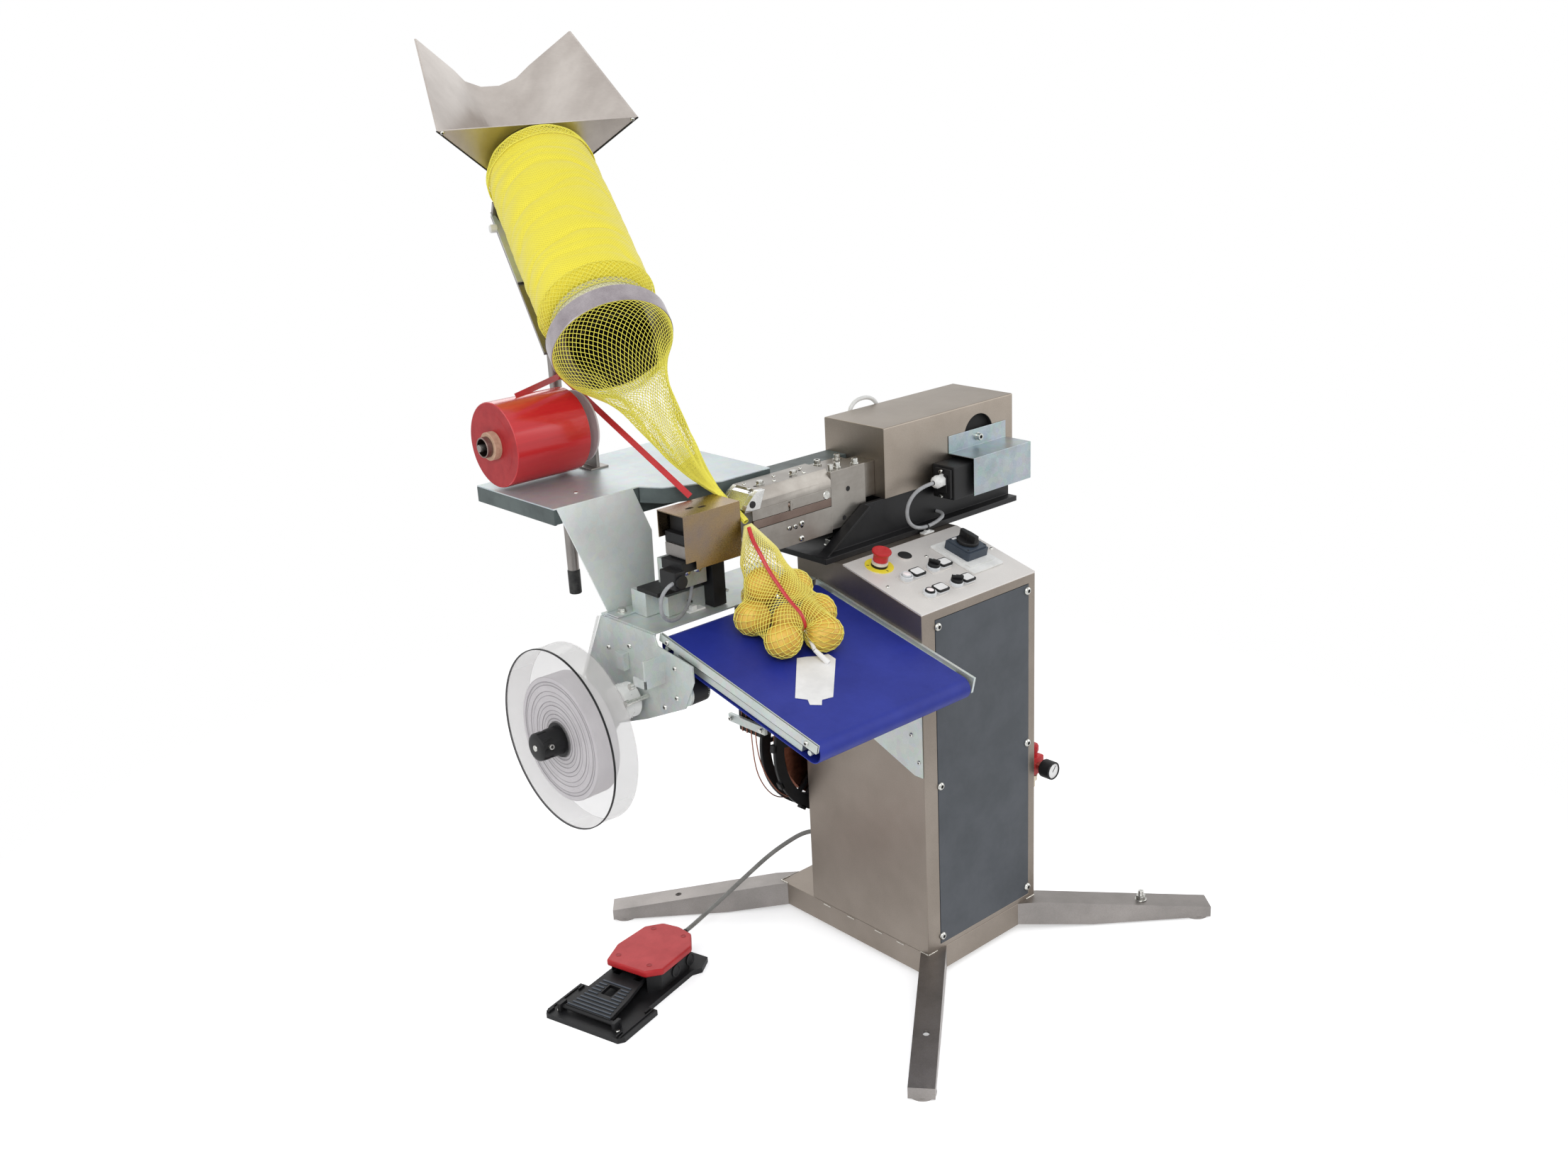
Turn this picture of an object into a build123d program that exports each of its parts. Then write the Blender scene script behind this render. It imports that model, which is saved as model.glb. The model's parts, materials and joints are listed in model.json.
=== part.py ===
from build123d import *
import math
import os

os.makedirs("parts", exist_ok=True)

# Sizes are in millimetres from the middle of the column's foot, with the floor at z = 0.
# The saved part is shifted so that the middle of its outline stands at the origin.
CENTRE_X = -161.0
CENTRE_Y = 339.0

# Base and column
COL_HALF = 170.0
COL_FRONT = -175.0
COL_BACK = 175.0
BASE_BACK = 283.0
BASE_LOW = 16.0
BASE_TOP = 69.0
BASE_WALL = 4.0
SHEET = 3.0
FRAME_LEFT = 38.0
FRAME_RIGHT = 20.0
PANEL_LOW_EDGE = 824.0
PANEL_GAP = 0.5
PANEL_FOOT = 80.0
DECK_Y = 39.0
DECK_Z = 881.0

# Legs
LEG_ANGLE = 39.5
LEG_REACH = 397.0
LEG_WIDTH = 52.0
LEG_INSET = 14.0
LEG_TIP_TOP = 29.0
LEG_BEND = 136.0
PAD_HIGH = 5.0
PAD_R = 27.0

# Control panel fittings, as (across, up the slope)
BUTTONS = {
    "lamp_button": (-95, 115),
    "start_button": (-98, 47),
    "selector_left": (-16, 115),
    "selector_right": (-20, 47),
}
ESTOP_AT = (-109, 178)
PLUG_AT = (-32, 181)
SWITCH_AT = (88, 118)
HANDLE_SHIFT = (2, 6)
BUTTON_SEAT = 1.5
BUTTON_TRAVEL = 3.0
STEM_R = 6.0
ESTOP_STEM_R = 8.0

# Clipper bracket and housing
BRACKET_LOW = DECK_Z
BRACKET_THICK = 12.0
BRACKET_FRONT = 60.0
BRACKET_LEFT = -196.0
HOUSE_LEFT = -3.0
HOUSE_RIGHT = 400.0
HOUSE_FRONT = 79.0
HOUSE_BACK = 255.0
HOUSE_LOW = 972.0
HOUSE_TOP = 1121.0
COVER_LEFT = 190.0
COVER_RIGHT = 375.0
COVER_FRONT = 8.0
COVER_TOP = 1027.0

# Clipper arm
ARM_FRONT = 95.0
ARM_BACK = 170.0
ARM_LOW = 930.0
ARM_TOP = 1062.0
JOINT_LEFT = -141.0
JOINT_RIGHT = -44.0
NOSE = -370.0

# Clipping head
HEAD_LEFT = -524.0
HEAD_RIGHT = -386.0
HEAD_FRONT = 90.0
HEAD_BACK = 170.0
HEAD_LOW = 945.0
HEAD_TOP = 1054.0

# Table
TABLE_TOP = 1070.0
TABLE_LEFT = -680.0
TABLE_RIGHT = -225.0
TABLE_BACK = 552.0
TABLE_FOLD = 283.0
TABLE_FRONT = 182.0
TABLE_LIP = 30.0
PLATE_TOP = 835.0
PLATE_BACK = 292.0

# Belt conveyor
BELT_LEFT = -572.0
BELT_RIGHT = -184.0
BELT_REAR = (116.0, 832.0)
BELT_SLOPE = 13.5
BELT_LONG = 445.0
DRUM = 20.0
BELT_THICK = 2.0
RAIL_LOW = -50.0

# Net tube, measured along its own axis from the ring's front edge
RING_AT = (-440.0, 383.0, 1329.0)
TUBE_UP = (0.25, 0.76, 0.60)
TUBE_SIDE = (0.95, -0.3125, 0.0)
TUBE_R = 84.0
RING_R = 125.0
RING_LONG = 45.0
MAGAZINE_R = 119.0
MAGAZINE_START = 60.0
MAGAZINE_END = 535.0

# Hopper, a folded trough behind the tube
HOPPER_START = 550.0
HOPPER_END = 905.0
HOPPER_LIP = 98.0
HOPPER_REAR_LIP = 58.0
FLOOR_R = 100.0
FLOOR_RISE = 16.0
FLOOR_FOLDS = 5

# Mast
MAST_AT = (-446.0, 590.0)
MAST_R = 12.5
MAST_LOW = 772.0
MAST_TOP = 1322.0

# Reels
LABEL_AXIS = (310.0, 596.0)
LABEL_R = 187.0
LABEL_LEFT = -705.0
LABEL_RIGHT = -645.0
LABEL_PLATE = -590.0
WHEEL_AXIS = (196.0, 684.0)
WHEEL_R = 35.0
RIBBON_AXIS = (484.0, 1161.0)
RIBBON_R = 85.0
SPOOL_AXIS = (-63.0, 430.0)
SPOOL_R = 180.0
SPOOL_FRONT = 194.0
SPOOL_WIDE = 52.0

# Ribbon, from the roll over a pin to the jaws
RIBBON_WIDE = 12.0
RIBBON_THICK = 0.8
RIBBON_LEAVES = (-612.0, 482.0, RIBBON_AXIS[1] + RIBBON_R + 1.2)
RIBBON_PIN = (-446.0, 566.0, 1250.0)
RIBBON_ENDS = (-434.0, 180.0, 1058.0)

# Foot pedal, on the floor beside the machine
PEDAL_AT = (-612.0, 268.0)
PEDAL_TURN = 15.0
TREADLE_PIN = (-145.0, 0.0, 22.0)
TREADLE_PIN_R = 5.0
TREADLE_TILT = 4.0
HOOD_LOW = 52.0
HOOD_TOP = 66.0
CABLE_R = 5.0

# Running fits and seats
PIN_GAP = 0.3
SEAT_GAP = 0.3

BASE = (Align.CENTER, Align.CENTER, Align.MIN)


def block(x0, x1, y0, y1, z0, z1):
    middle = Pos((x0 + x1) / 2, (y0 + y1) / 2, (z0 + z1) / 2)
    return middle * Box(x1 - x0, y1 - y0, z1 - z0)


def rod(start, end, radius):
    a = Vector(*start)
    span = Vector(*end) - a
    return extrude(Plane(origin=a, z_dir=span.normalized()) * Circle(radius), amount=span.length)


def disc(radius, low, high):
    return Pos(0, 0, low) * Cylinder(radius, high - low, align=BASE)


def outline(points):
    return make_face(Polyline(*points, close=True))


def across(points, x0, x1):
    return extrude(Plane.YZ.offset(x0) * outline(points), amount=x1 - x0)


def along(points, y0, y1):
    return extrude(Plane.XZ.offset(-y1) * outline(points), amount=y1 - y0)


def upward(points, z0, z1):
    return extrude(Plane.XY.offset(z0) * outline(points), amount=z1 - z0)


def strip(points, thick):
    """Outline of a folded sheet whose one side runs through the points."""
    other = []
    for i, p in enumerate(points):
        q = points[max(i - 1, 0)]
        r = points[min(i + 1, len(points) - 1)]
        d1 = Vector(p[0] - q[0], p[1] - q[1], 0)
        d2 = Vector(r[0] - p[0], r[1] - p[1], 0)
        d1 = d2 if d1.length == 0 else d1
        d2 = d1 if d2.length == 0 else d2
        n1 = Vector(-d1.Y, d1.X, 0).normalized()
        n2 = Vector(-d2.Y, d2.X, 0).normalized()
        m = (n1 + n2).normalized()
        reach = thick / m.dot(n1)
        other.append((p[0] + m.X * reach, p[1] + m.Y * reach))
    return list(points) + other[::-1]


def cord(points, radius, bends):
    path = FilletPolyline(*points, radius=bends)
    return sweep(Plane(origin=path @ 0, z_dir=path % 0) * Circle(radius), path=path)


LOW = [1e6, 1e6, 1e6]
HIGH = [-1e6, -1e6, -1e6]


def save(shape, name):
    placed = Pos(-CENTRE_X, -CENTRE_Y, 0) * shape
    export_step(placed, os.path.join("parts", name + ".step"))
    box = placed.bounding_box()
    for i, (a, c) in enumerate(zip(box.min, box.max)):
        LOW[i] = min(LOW[i], a)
        HIGH[i] = max(HIGH[i], c)
    print(name, len(placed.solids()), round(placed.volume / 1000.0, 1))


# Base frame, a shallow folded box open underneath
base_outer = block(-COL_HALF, COL_HALF, COL_FRONT, BASE_BACK, BASE_LOW, BASE_TOP)
wall = BASE_WALL
inner_half = COL_HALF - wall
base_inner = block(
    -inner_half, inner_half, COL_FRONT + wall, BASE_BACK - wall, BASE_LOW - 1, BASE_TOP - wall
)
save(base_outer - base_inner, "base_frame")

# Legs, tapered channels open underneath, with a round pad at the tip
leg_side = [
    (-60, BASE_LOW + 4),
    (-60, BASE_TOP),
    (20, BASE_TOP),
    (LEG_REACH, LEG_TIP_TOP),
    (LEG_REACH, PAD_HIGH),
    (LEG_BEND, PAD_HIGH),
]
leg_core = [
    (-80, -1),
    (-80, BASE_TOP - wall),
    (20, BASE_TOP - wall),
    (LEG_REACH - wall, LEG_TIP_TOP - wall),
    (LEG_REACH - wall, -1),
]
PAD_AT = LEG_REACH - PAD_R + 1


def leg(sx, sy, y0, stud):
    body = along(leg_side, -LEG_WIDTH / 2, LEG_WIDTH / 2)
    body -= along(leg_core, -LEG_WIDTH / 2 + wall, LEG_WIDTH / 2 - wall)
    body += Pos(PAD_AT, 0, 0) * disc(PAD_R, 0, PAD_HIGH)
    if stud:
        body += Pos(LEG_REACH - 150, 0, 0) * disc(STEM_R, 30, 66)
        body += Pos(LEG_REACH - 150, 0, 41) * extrude(RegularPolygon(10.5, 6), amount=14)
    else:
        body -= Pos(LEG_REACH - 150, 0, 0) * disc(7, 10, 80)
    angle = math.radians(LEG_ANGLE)
    turn = math.degrees(math.atan2(sy * math.sin(angle), sx * math.cos(angle)))
    return Pos(sx * (COL_HALF - LEG_INSET), y0, 0) * Rot(0, 0, turn) * body - base_outer


LEGS = {
    "leg_front_left": (-1, -1, COL_FRONT, False),
    "leg_front_right": (1, -1, COL_FRONT, True),
    "leg_rear_left": (-1, 1, BASE_BACK, False),
    "leg_rear_right": (1, 1, BASE_BACK, False),
}
for name, settings in LEGS.items():
    save(leg(*settings), name)

# Column, a folded cabinet with a framed front opening and a sloping top
slope = math.atan2(DECK_Z - PANEL_LOW_EDGE, DECK_Y - COL_FRONT)
drop = SHEET / math.cos(slope)


def cabinet(inset):
    front = COL_FRONT + inset
    back = COL_BACK - inset
    profile = [
        (front, BASE_TOP + inset),
        (back, BASE_TOP + inset),
        (back, DECK_Z - inset),
        (DECK_Y + inset, DECK_Z - inset),
        (DECK_Y + inset, DECK_Z - drop - inset),
        (front, PANEL_LOW_EDGE - drop - inset),
    ]
    return across(profile, -COL_HALF + inset, COL_HALF - inset)


opening_top = PANEL_LOW_EDGE - 22
opening_left = -COL_HALF + FRAME_LEFT
opening_right = COL_HALF - FRAME_RIGHT
column = cabinet(0) - cabinet(SHEET)
inner = COL_HALF - SHEET
front_inside = COL_FRONT + SHEET
column += block(-inner, inner, front_inside, front_inside + SHEET, BASE_TOP + SHEET, opening_top + 7)
column -= block(
    opening_left + 16, opening_right - 16, COL_FRONT - 1, COL_FRONT + 7, PANEL_FOOT + 16, opening_top - 16
)
column -= block(
    opening_left, opening_right, COL_FRONT - 1, COL_FRONT + SHEET, PANEL_FOOT, opening_top
)
column -= block(-COL_HALF + 20, COL_HALF - 20, COL_FRONT + 18, DECK_Y - 14, PANEL_LOW_EDGE - 40, DECK_Z + 20)
save(column, "column_shell")
panel_left = opening_left + PANEL_GAP
panel_right = opening_right - PANEL_GAP
panel_low = PANEL_FOOT + PANEL_GAP
panel_top = opening_top - PANEL_GAP
front_panel = block(panel_left, panel_right, COL_FRONT - PANEL_GAP, front_inside, panel_low, panel_top)
save(front_panel, "front_panel")

# Control panel, a sloping sheet with a raised collar for each control
sheet_profile = [
    (COL_FRONT, PANEL_LOW_EDGE - drop),
    (DECK_Y, DECK_Z - drop),
    (DECK_Y, DECK_Z),
    (COL_FRONT, PANEL_LOW_EDGE),
]
slope_normal = (0, -math.sin(slope), math.cos(slope))
CP = Plane(origin=(0, COL_FRONT, PANEL_LOW_EDGE), x_dir=(1, 0, 0), z_dir=slope_normal)
panel = across(sheet_profile, -COL_HALF, COL_HALF)
for bx, bs in BUTTONS.values():
    collar = Pos(bx + 12, bs, 0) * extrude(RectangleRounded(56, 32, 4), amount=1.5)
    collar += Pos(bx, bs, 0) * disc(14, 0, 6)
    panel += CP * collar
    panel -= CP * Pos(bx, bs, 0) * disc(10.5, BUTTON_SEAT, 12)
    panel -= CP * Pos(bx, bs, 0) * disc(STEM_R + PIN_GAP, -10, 20)
estop_at = CP * Pos(*ESTOP_AT, 0)
panel += estop_at * disc(30, 0, 1.5)
panel += estop_at * disc(17, 0, 14)
panel -= estop_at * disc(ESTOP_STEM_R + PIN_GAP, -10, 30)
panel += CP * Pos(*PLUG_AT, 0) * disc(15, 0, 3)
save(panel, "control_panel")

cap = disc(9.8, BUTTON_SEAT + BUTTON_TRAVEL + PIN_GAP, 11)
cap += disc(STEM_R, -25, 8)
knob = disc(12.5, 6.5, 11.5)
knob += Pos(0, 0, 11) * extrude(RectangleRounded(8, 25, 3), amount=11)
knob += disc(STEM_R, -25, 9)
for name, (bx, bs) in BUTTONS.items():
    save(CP * Pos(bx, bs, 0) * (knob if "selector" in name else cap), name)

mushroom = disc(20, 24, 36)
mushroom = fillet(mushroom.edges().group_by(Axis.Z)[-1], 5)
mushroom += disc(ESTOP_STEM_R, -30, 26)
save(estop_at * mushroom, "estop_button")

switch = extrude(RectangleRounded(88, 124, 4), amount=3)
switch += Pos(*HANDLE_SHIFT, 3) * extrude(RectangleRounded(60, 66, 5), amount=26)
switch -= Pos(*HANDLE_SHIFT, 0) * disc(STEM_R + PIN_GAP, 10, 50)
save(CP * Pos(*SWITCH_AT, 0) * switch, "main_switch")
handle = disc(24, 30, 36)
handle += Pos(0, 0, 35) * extrude(RectangleRounded(15, 46, 5), amount=17)
handle += disc(STEM_R, 12, 32)
save(CP * Pos(SWITCH_AT[0] + HANDLE_SHIFT[0], SWITCH_AT[1] + HANDLE_SHIFT[1], 0) * handle, "switch_handle")

# Pressure regulator on the right side of the column
REG_X = COL_HALF + 26
REG_Y = -146.0
REG_Z = 371.0
regulator = block(COL_HALF, COL_HALF + 6, REG_Y - 22, REG_Y + 22, REG_Z - 31, REG_Z + 59)
regulator += block(COL_HALF + 6, REG_X + 20, REG_Y - 20, REG_Y + 20, REG_Z - 21, REG_Z + 21)
regulator += rod((REG_X, REG_Y, REG_Z - 59), (REG_X, REG_Y, REG_Z - 20), 17)
regulator += rod((REG_X, REG_Y - 20, REG_Z), (REG_X, REG_Y - 34, REG_Z), 10)
regulator += rod((REG_X, REG_Y - 33, REG_Z), (REG_X, REG_Y - 62, REG_Z), 20)
regulator += rod((REG_X, REG_Y, REG_Z + 21), (REG_X, REG_Y, REG_Z + 47), 15)
save(regulator, "pressure_regulator")

# Clipper bracket, a plate with two upright gussets that carry the housing
BRACKET_TOP = BRACKET_LOW + BRACKET_THICK
GUSSET_FRONT = HOUSE_FRONT + 5
GUSSET = 10.0
gusset_line = [
    (BRACKET_LEFT + 10, BRACKET_TOP - 1),
    (HOUSE_LEFT - 57, HOUSE_LOW),
    (HOUSE_RIGHT - 8, HOUSE_LOW),
    (HOUSE_RIGHT - 8, BRACKET_TOP - 1),
]
bracket = block(BRACKET_LEFT, HOUSE_RIGHT - 8, BRACKET_FRONT, HOUSE_BACK - 5, BRACKET_LOW, BRACKET_TOP)
bracket += along(gusset_line, GUSSET_FRONT, GUSSET_FRONT + GUSSET)
bracket += along(gusset_line, HOUSE_BACK - 13 - GUSSET, HOUSE_BACK - 13)
fold = [
    gusset_line[0],
    gusset_line[1],
    (HOUSE_LEFT - 53, HOUSE_LOW - 5),
    (BRACKET_LEFT + 18, BRACKET_TOP - 1),
]
bracket += along(fold, GUSSET_FRONT - 16, GUSSET_FRONT + 1)
save(bracket, "clipper_bracket")

housing = block(HOUSE_LEFT, HOUSE_RIGHT, HOUSE_FRONT, HOUSE_BACK, HOUSE_LOW, HOUSE_TOP)
housing = fillet(housing.edges().filter_by(Axis.X).group_by(Axis.Z)[-1], 3)
room_x = (HOUSE_LEFT + SHEET, HOUSE_RIGHT - SHEET)
room_y = (HOUSE_FRONT + SHEET, HOUSE_BACK - SHEET)
room_z = (HOUSE_LOW + SHEET, HOUSE_TOP - SHEET)
housing -= block(*room_x, *room_y, *room_z)
housing -= rod((288, HOUSE_FRONT - 5, 1050), (288, HOUSE_FRONT + 10, 1050), 46)
save(housing, "clipper_housing")
COVER_SHEET = 2.0
cover_line = [
    (HOUSE_FRONT, COVER_TOP + 39),
    (HOUSE_FRONT, COVER_TOP),
    (COVER_FRONT, COVER_TOP),
    (COVER_FRONT, 947),
]
save(across(strip(cover_line, -COVER_SHEET), COVER_LEFT, COVER_RIGHT), "coil_cover")

# Solenoid valve behind the cover, with its cable gland at the left
GLAND_AT = (103.0, 44.0, 988.0)
solenoid = block(140, 336, 18, HOUSE_FRONT, 945, 1018)
solenoid += rod((GLAND_AT[0] + 1, 44, 988), (126, 44, 988), 10)
solenoid += rod((122, 44, 988), (142, 44, 988), 13)
save(solenoid, "solenoid")
valve_route = [
    GLAND_AT,
    (60, 44, 988),
    (24, 45, 958),
    (27, 46, 920),
    (60, 48, 897),
    (112, 50, 896),
    (156, 56, 908),
    (156, GUSSET_FRONT, 908),
]
save(cord(valve_route, 4.0, 12.0), "solenoid_cable")

# Clipper arm, stacked ground bars bolted to a joint block
arm_joint = block(JOINT_LEFT, JOINT_RIGHT, ARM_FRONT, ARM_BACK + 5, ARM_LOW + 5, ARM_TOP - 6)
arm_joint += block(JOINT_RIGHT - 1, HOUSE_LEFT, ARM_FRONT + 14, ARM_BACK - 4, HOUSE_LOW + 4, ARM_TOP - 12)
save(arm_joint, "arm_joint")
JAW_LOW = 985.0
JAW_TOP = 1024.0
lower_line = [
    (JOINT_LEFT, JAW_LOW),
    (NOSE + 30, JAW_LOW),
    (NOSE + 30, ARM_LOW + 28),
    (NOSE + 70, ARM_LOW),
    (JOINT_LEFT, ARM_LOW),
]
arm_lower = along(lower_line, ARM_FRONT, ARM_BACK)
for hx, hz in ((-255, 966), (-240, 965), (-224, 964), (-224, 938)):
    arm_lower -= rod((hx, ARM_FRONT - 1, hz), (hx, ARM_FRONT + 12, hz), 4)
save(arm_lower, "arm_lower")
arm_jaw = block(NOSE + 18, JOINT_LEFT, ARM_FRONT + 4, ARM_BACK - 4, JAW_LOW, JAW_TOP)
save(arm_jaw, "arm_jaw")
upper_end = [
    (ARM_FRONT, JAW_TOP),
    (ARM_FRONT, ARM_TOP - 22),
    (ARM_FRONT + 14, ARM_TOP),
    (ARM_BACK, ARM_TOP),
    (ARM_BACK, JAW_TOP),
]
nose_cut = [
    (NOSE - 1, JAW_TOP - 1),
    (NOSE - 1, ARM_TOP + 8),
    (NOSE + 42, ARM_TOP + 8),
    (NOSE + 36, ARM_TOP),
    (NOSE, JAW_TOP + 6),
]
arm_upper = across(upper_end, NOSE, JOINT_LEFT) - along(nose_cut, ARM_FRONT - 1, ARM_BACK + 1)
arm_upper -= rod((NOSE + 18, ARM_FRONT - 1, JAW_TOP + 13), (NOSE + 18, ARM_FRONT + 30, JAW_TOP + 13), 8)
save(arm_upper, "arm_upper")

# Clipping head: an open sheet cover over the head's body
COVER = 2.0
head_cover = block(HEAD_LEFT, HEAD_RIGHT, HEAD_FRONT, HEAD_BACK, HEAD_LOW, HEAD_TOP)
open_end = HEAD_LEFT - 1
open_foot = HEAD_LOW - 1
lining = (HEAD_FRONT + COVER, HEAD_BACK - COVER)
head_cover -= block(open_end, HEAD_RIGHT - COVER, *lining, open_foot, HEAD_TOP - COVER)
head_cover -= block(open_end, HEAD_RIGHT + 1, HEAD_FRONT + 40, HEAD_BACK + 1, open_foot, 1000)
head_cover -= block(open_end, HEAD_LEFT + 24, HEAD_FRONT - 1, HEAD_FRONT + 5, open_foot, HEAD_LOW + 17)
for hx, hy in ((-478, 128), (-456, 118)):
    head_cover -= Pos(hx, hy, HEAD_TOP - 4) * extrude(SlotOverall(18, 9), amount=10)
save(head_cover, "head_cover")
inside_top = HEAD_TOP - COVER - SEAT_GAP
head_body = block(HEAD_LEFT + 22, HEAD_RIGHT - 4, HEAD_FRONT + 6, HEAD_BACK - 4, 1010, inside_top)
head_body += block(HEAD_LEFT + 8, -470, HEAD_FRONT + 6, HEAD_BACK - 4, 962, 1011)
head_body += block(HEAD_LEFT + 8, -420, 120, 226, PLATE_TOP, 963)
head_body += block(-548, -500, 100, 150, 918, 964)
save(head_body, "head_body")

# Table with its folded guard, and the dark tray under it
table_plan = [
    (TABLE_LEFT, TABLE_BACK),
    (TABLE_LEFT, TABLE_FOLD),
    (-480, TABLE_FOLD),
    (-455, TABLE_FRONT + 58),
    (-352, TABLE_FRONT),
    (TABLE_RIGHT, TABLE_FRONT),
    (TABLE_RIGHT, TABLE_BACK),
]
guard_line = [
    (-673, TABLE_TOP - 2),
    (-493, TABLE_TOP - 2),
    (-455, 975),
    (-458, PLATE_TOP),
    (-577, PLATE_TOP),
]
table_sheet = upward(table_plan, TABLE_TOP - SHEET, TABLE_TOP)
table_sheet += along(guard_line, TABLE_FOLD, TABLE_FOLD + SHEET)
save(table_sheet, "table_sheet")
TRAY_WALL = 4.0
tray_top = TABLE_TOP - SHEET
table_frame = upward(table_plan, tray_top - TABLE_LIP, tray_top)
tray_core = offset(outline(table_plan), amount=-TRAY_WALL, kind=Kind.INTERSECTION)
table_frame -= Pos(0, 0, tray_top - TABLE_LIP - 1) * extrude(tray_core, amount=TABLE_LIP - TRAY_WALL + 1)
table_frame -= block(-675, -400, TABLE_FOLD - 1, TABLE_FOLD + SHEET + 0.2, TABLE_TOP - 50, TABLE_TOP)
table_frame += block(-600, TABLE_RIGHT - TRAY_WALL, 300, 350, tray_top - TABLE_LIP - 27, tray_top - 3)
table_frame += block(TABLE_RIGHT - 65, TABLE_RIGHT - TRAY_WALL, 192, 350, 1000, 1050)
table_frame += block(TABLE_RIGHT - 15, HOUSE_LEFT, 192, 250, 1000, 1050)
save(table_frame, "table_frame")

# Mast behind the table, with the carrier of the net tube and the ribbon's pin
TUBE = Plane(origin=RING_AT, x_dir=TUBE_SIDE, z_dir=TUBE_UP)
mast = rod((*MAST_AT, MAST_LOW), (*MAST_AT, MAST_TOP), MAST_R)
mast += block(MAST_AT[0] - 30, MAST_AT[0] + 30, TABLE_BACK, MAST_AT[1] + 16, TABLE_TOP - 50, TABLE_TOP - 8)
mast += TUBE * block(-90, -30, MAGAZINE_R + 16, MAGAZINE_R + 24, 130, HOPPER_START - 2)
mast += TUBE * block(-90, 40, TUBE_R + 16, MAGAZINE_R + 24, HOPPER_START - 14, HOPPER_START - 2)
pin_z = RIBBON_PIN[2] - RIBBON_THICK / 2 - SEAT_GAP - 5
mast += rod((MAST_AT[0], MAST_AT[1] - 8, pin_z), (MAST_AT[0], RIBBON_PIN[1] + 1.5, pin_z), 5)
save(mast, "mast")

# Hopper: two sheet walls at 45 degrees, a folded floor, and a front plate with the tube's hole
root_half = math.sqrt(2) * TUBE_R
fold_angle = math.acos((root_half + FLOOR_RISE) / (math.sqrt(2) * FLOOR_R)) + math.pi / 4
floor_line = []
for k in range(FLOOR_FOLDS + 1):
    angle = fold_angle * (2 * k / FLOOR_FOLDS - 1)
    floor_line.append((FLOOR_R * math.sin(angle), FLOOR_R * math.cos(angle) - FLOOR_RISE))
lip_half = root_half + HOPPER_LIP
hopper_line = [(-lip_half, -HOPPER_LIP), *floor_line, (lip_half, -HOPPER_LIP)]
hopper_sheet = strip(hopper_line, -SHEET)
inner_line = hopper_sheet[len(hopper_line):]
long = HOPPER_END - HOPPER_START
hopper = extrude(Plane.XY.offset(HOPPER_START) * outline(hopper_sheet), amount=long)
hopper += extrude(Plane.XY.offset(HOPPER_START) * outline(inner_line), amount=SHEET)
hopper -= disc(TUBE_R - SHEET, HOPPER_START - 1, HOPPER_START + SHEET + 1)
lip_cut = [
    (-HOPPER_LIP, HOPPER_START),
    (-HOPPER_REAR_LIP, HOPPER_END + 1),
    (-HOPPER_LIP - 50, HOPPER_END + 1),
    (-HOPPER_LIP - 50, HOPPER_START),
]
hopper -= across(lip_cut, -lip_half - 50, lip_half + 50)
save(TUBE * hopper, "hopper")

# Net tube with its ring, and the gathered net around it
tube_bore = TUBE_R - SHEET
save(TUBE * (disc(TUBE_R, 0, HOPPER_START) - disc(tube_bore, -1, HOPPER_START + 1)), "net_tube")
ring_hole = TUBE_R + SEAT_GAP
net_ring = disc(RING_R, 0, RING_LONG) - disc(RING_R - SHEET, -1, RING_LONG - SHEET)
net_ring -= disc(ring_hole, -1, RING_LONG + 1)
save(TUBE * net_ring, "net_ring")
gather = [
    (ring_hole, MAGAZINE_START),
    (MAGAZINE_R - 10, MAGAZINE_START),
    (MAGAZINE_R, MAGAZINE_START + 30),
    (MAGAZINE_R, MAGAZINE_END - 40),
    (MAGAZINE_R - 10, MAGAZINE_END),
    (ring_hole, MAGAZINE_END),
]
save(TUBE * revolve(Plane.XZ * outline(gather), Axis.Z), "net_magazine")

# Net between the ring and the jaws, a thin skin that narrows to a strand
NET_THICK = 2.0
NECK = Vector(-378, 166, 1064)
lean = Vector(*RING_AT) - NECK
stations = [
    ((-436, 345, 1292), 84.0),
    ((-428, 296, 1228), 44.0),
    ((-416, 236, 1150), 30.0),
    ((-404, 200, 1100), 14.0),
]
skins = [TUBE * Pos(0, 0, -SEAT_GAP) * Circle(RING_R - SHEET)]
hollows = [TUBE * Pos(0, 0, 1) * Circle(RING_R - SHEET - NET_THICK)]
for at, r in stations:
    skins.append(Plane(origin=at, x_dir=TUBE_SIDE, z_dir=lean) * Circle(r))
for at, r in stations[:3]:
    hollows.append(Plane(origin=at, x_dir=TUBE_SIDE, z_dir=lean) * Circle(r - NET_THICK))
net_sleeve = loft(skins, ruled=True) - loft(hollows, ruled=True)
net_sleeve += cord([stations[3][0], NECK, (-378, 84, 1012)], 6.5, 16)
save(net_sleeve, "net_sleeve")

# Belt conveyor, in the plane of the belt
b = math.radians(BELT_SLOPE)
belt_r = DRUM + BELT_THICK
BELT = Plane(origin=(0, *BELT_REAR), x_dir=(1, 0, 0), z_dir=(0, -math.sin(b), math.cos(b)))
RUN = BELT_LONG - 2 * belt_r
PULLEYS = (-belt_r, -belt_r - RUN)


def loop(radius, x0, x1):
    body = block(x0, x1, PULLEYS[1], PULLEYS[0], -belt_r - radius, -belt_r + radius)
    for s in PULLEYS:
        body += rod((x0, s, -belt_r), (x1, s, -belt_r), radius)
    return body


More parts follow.
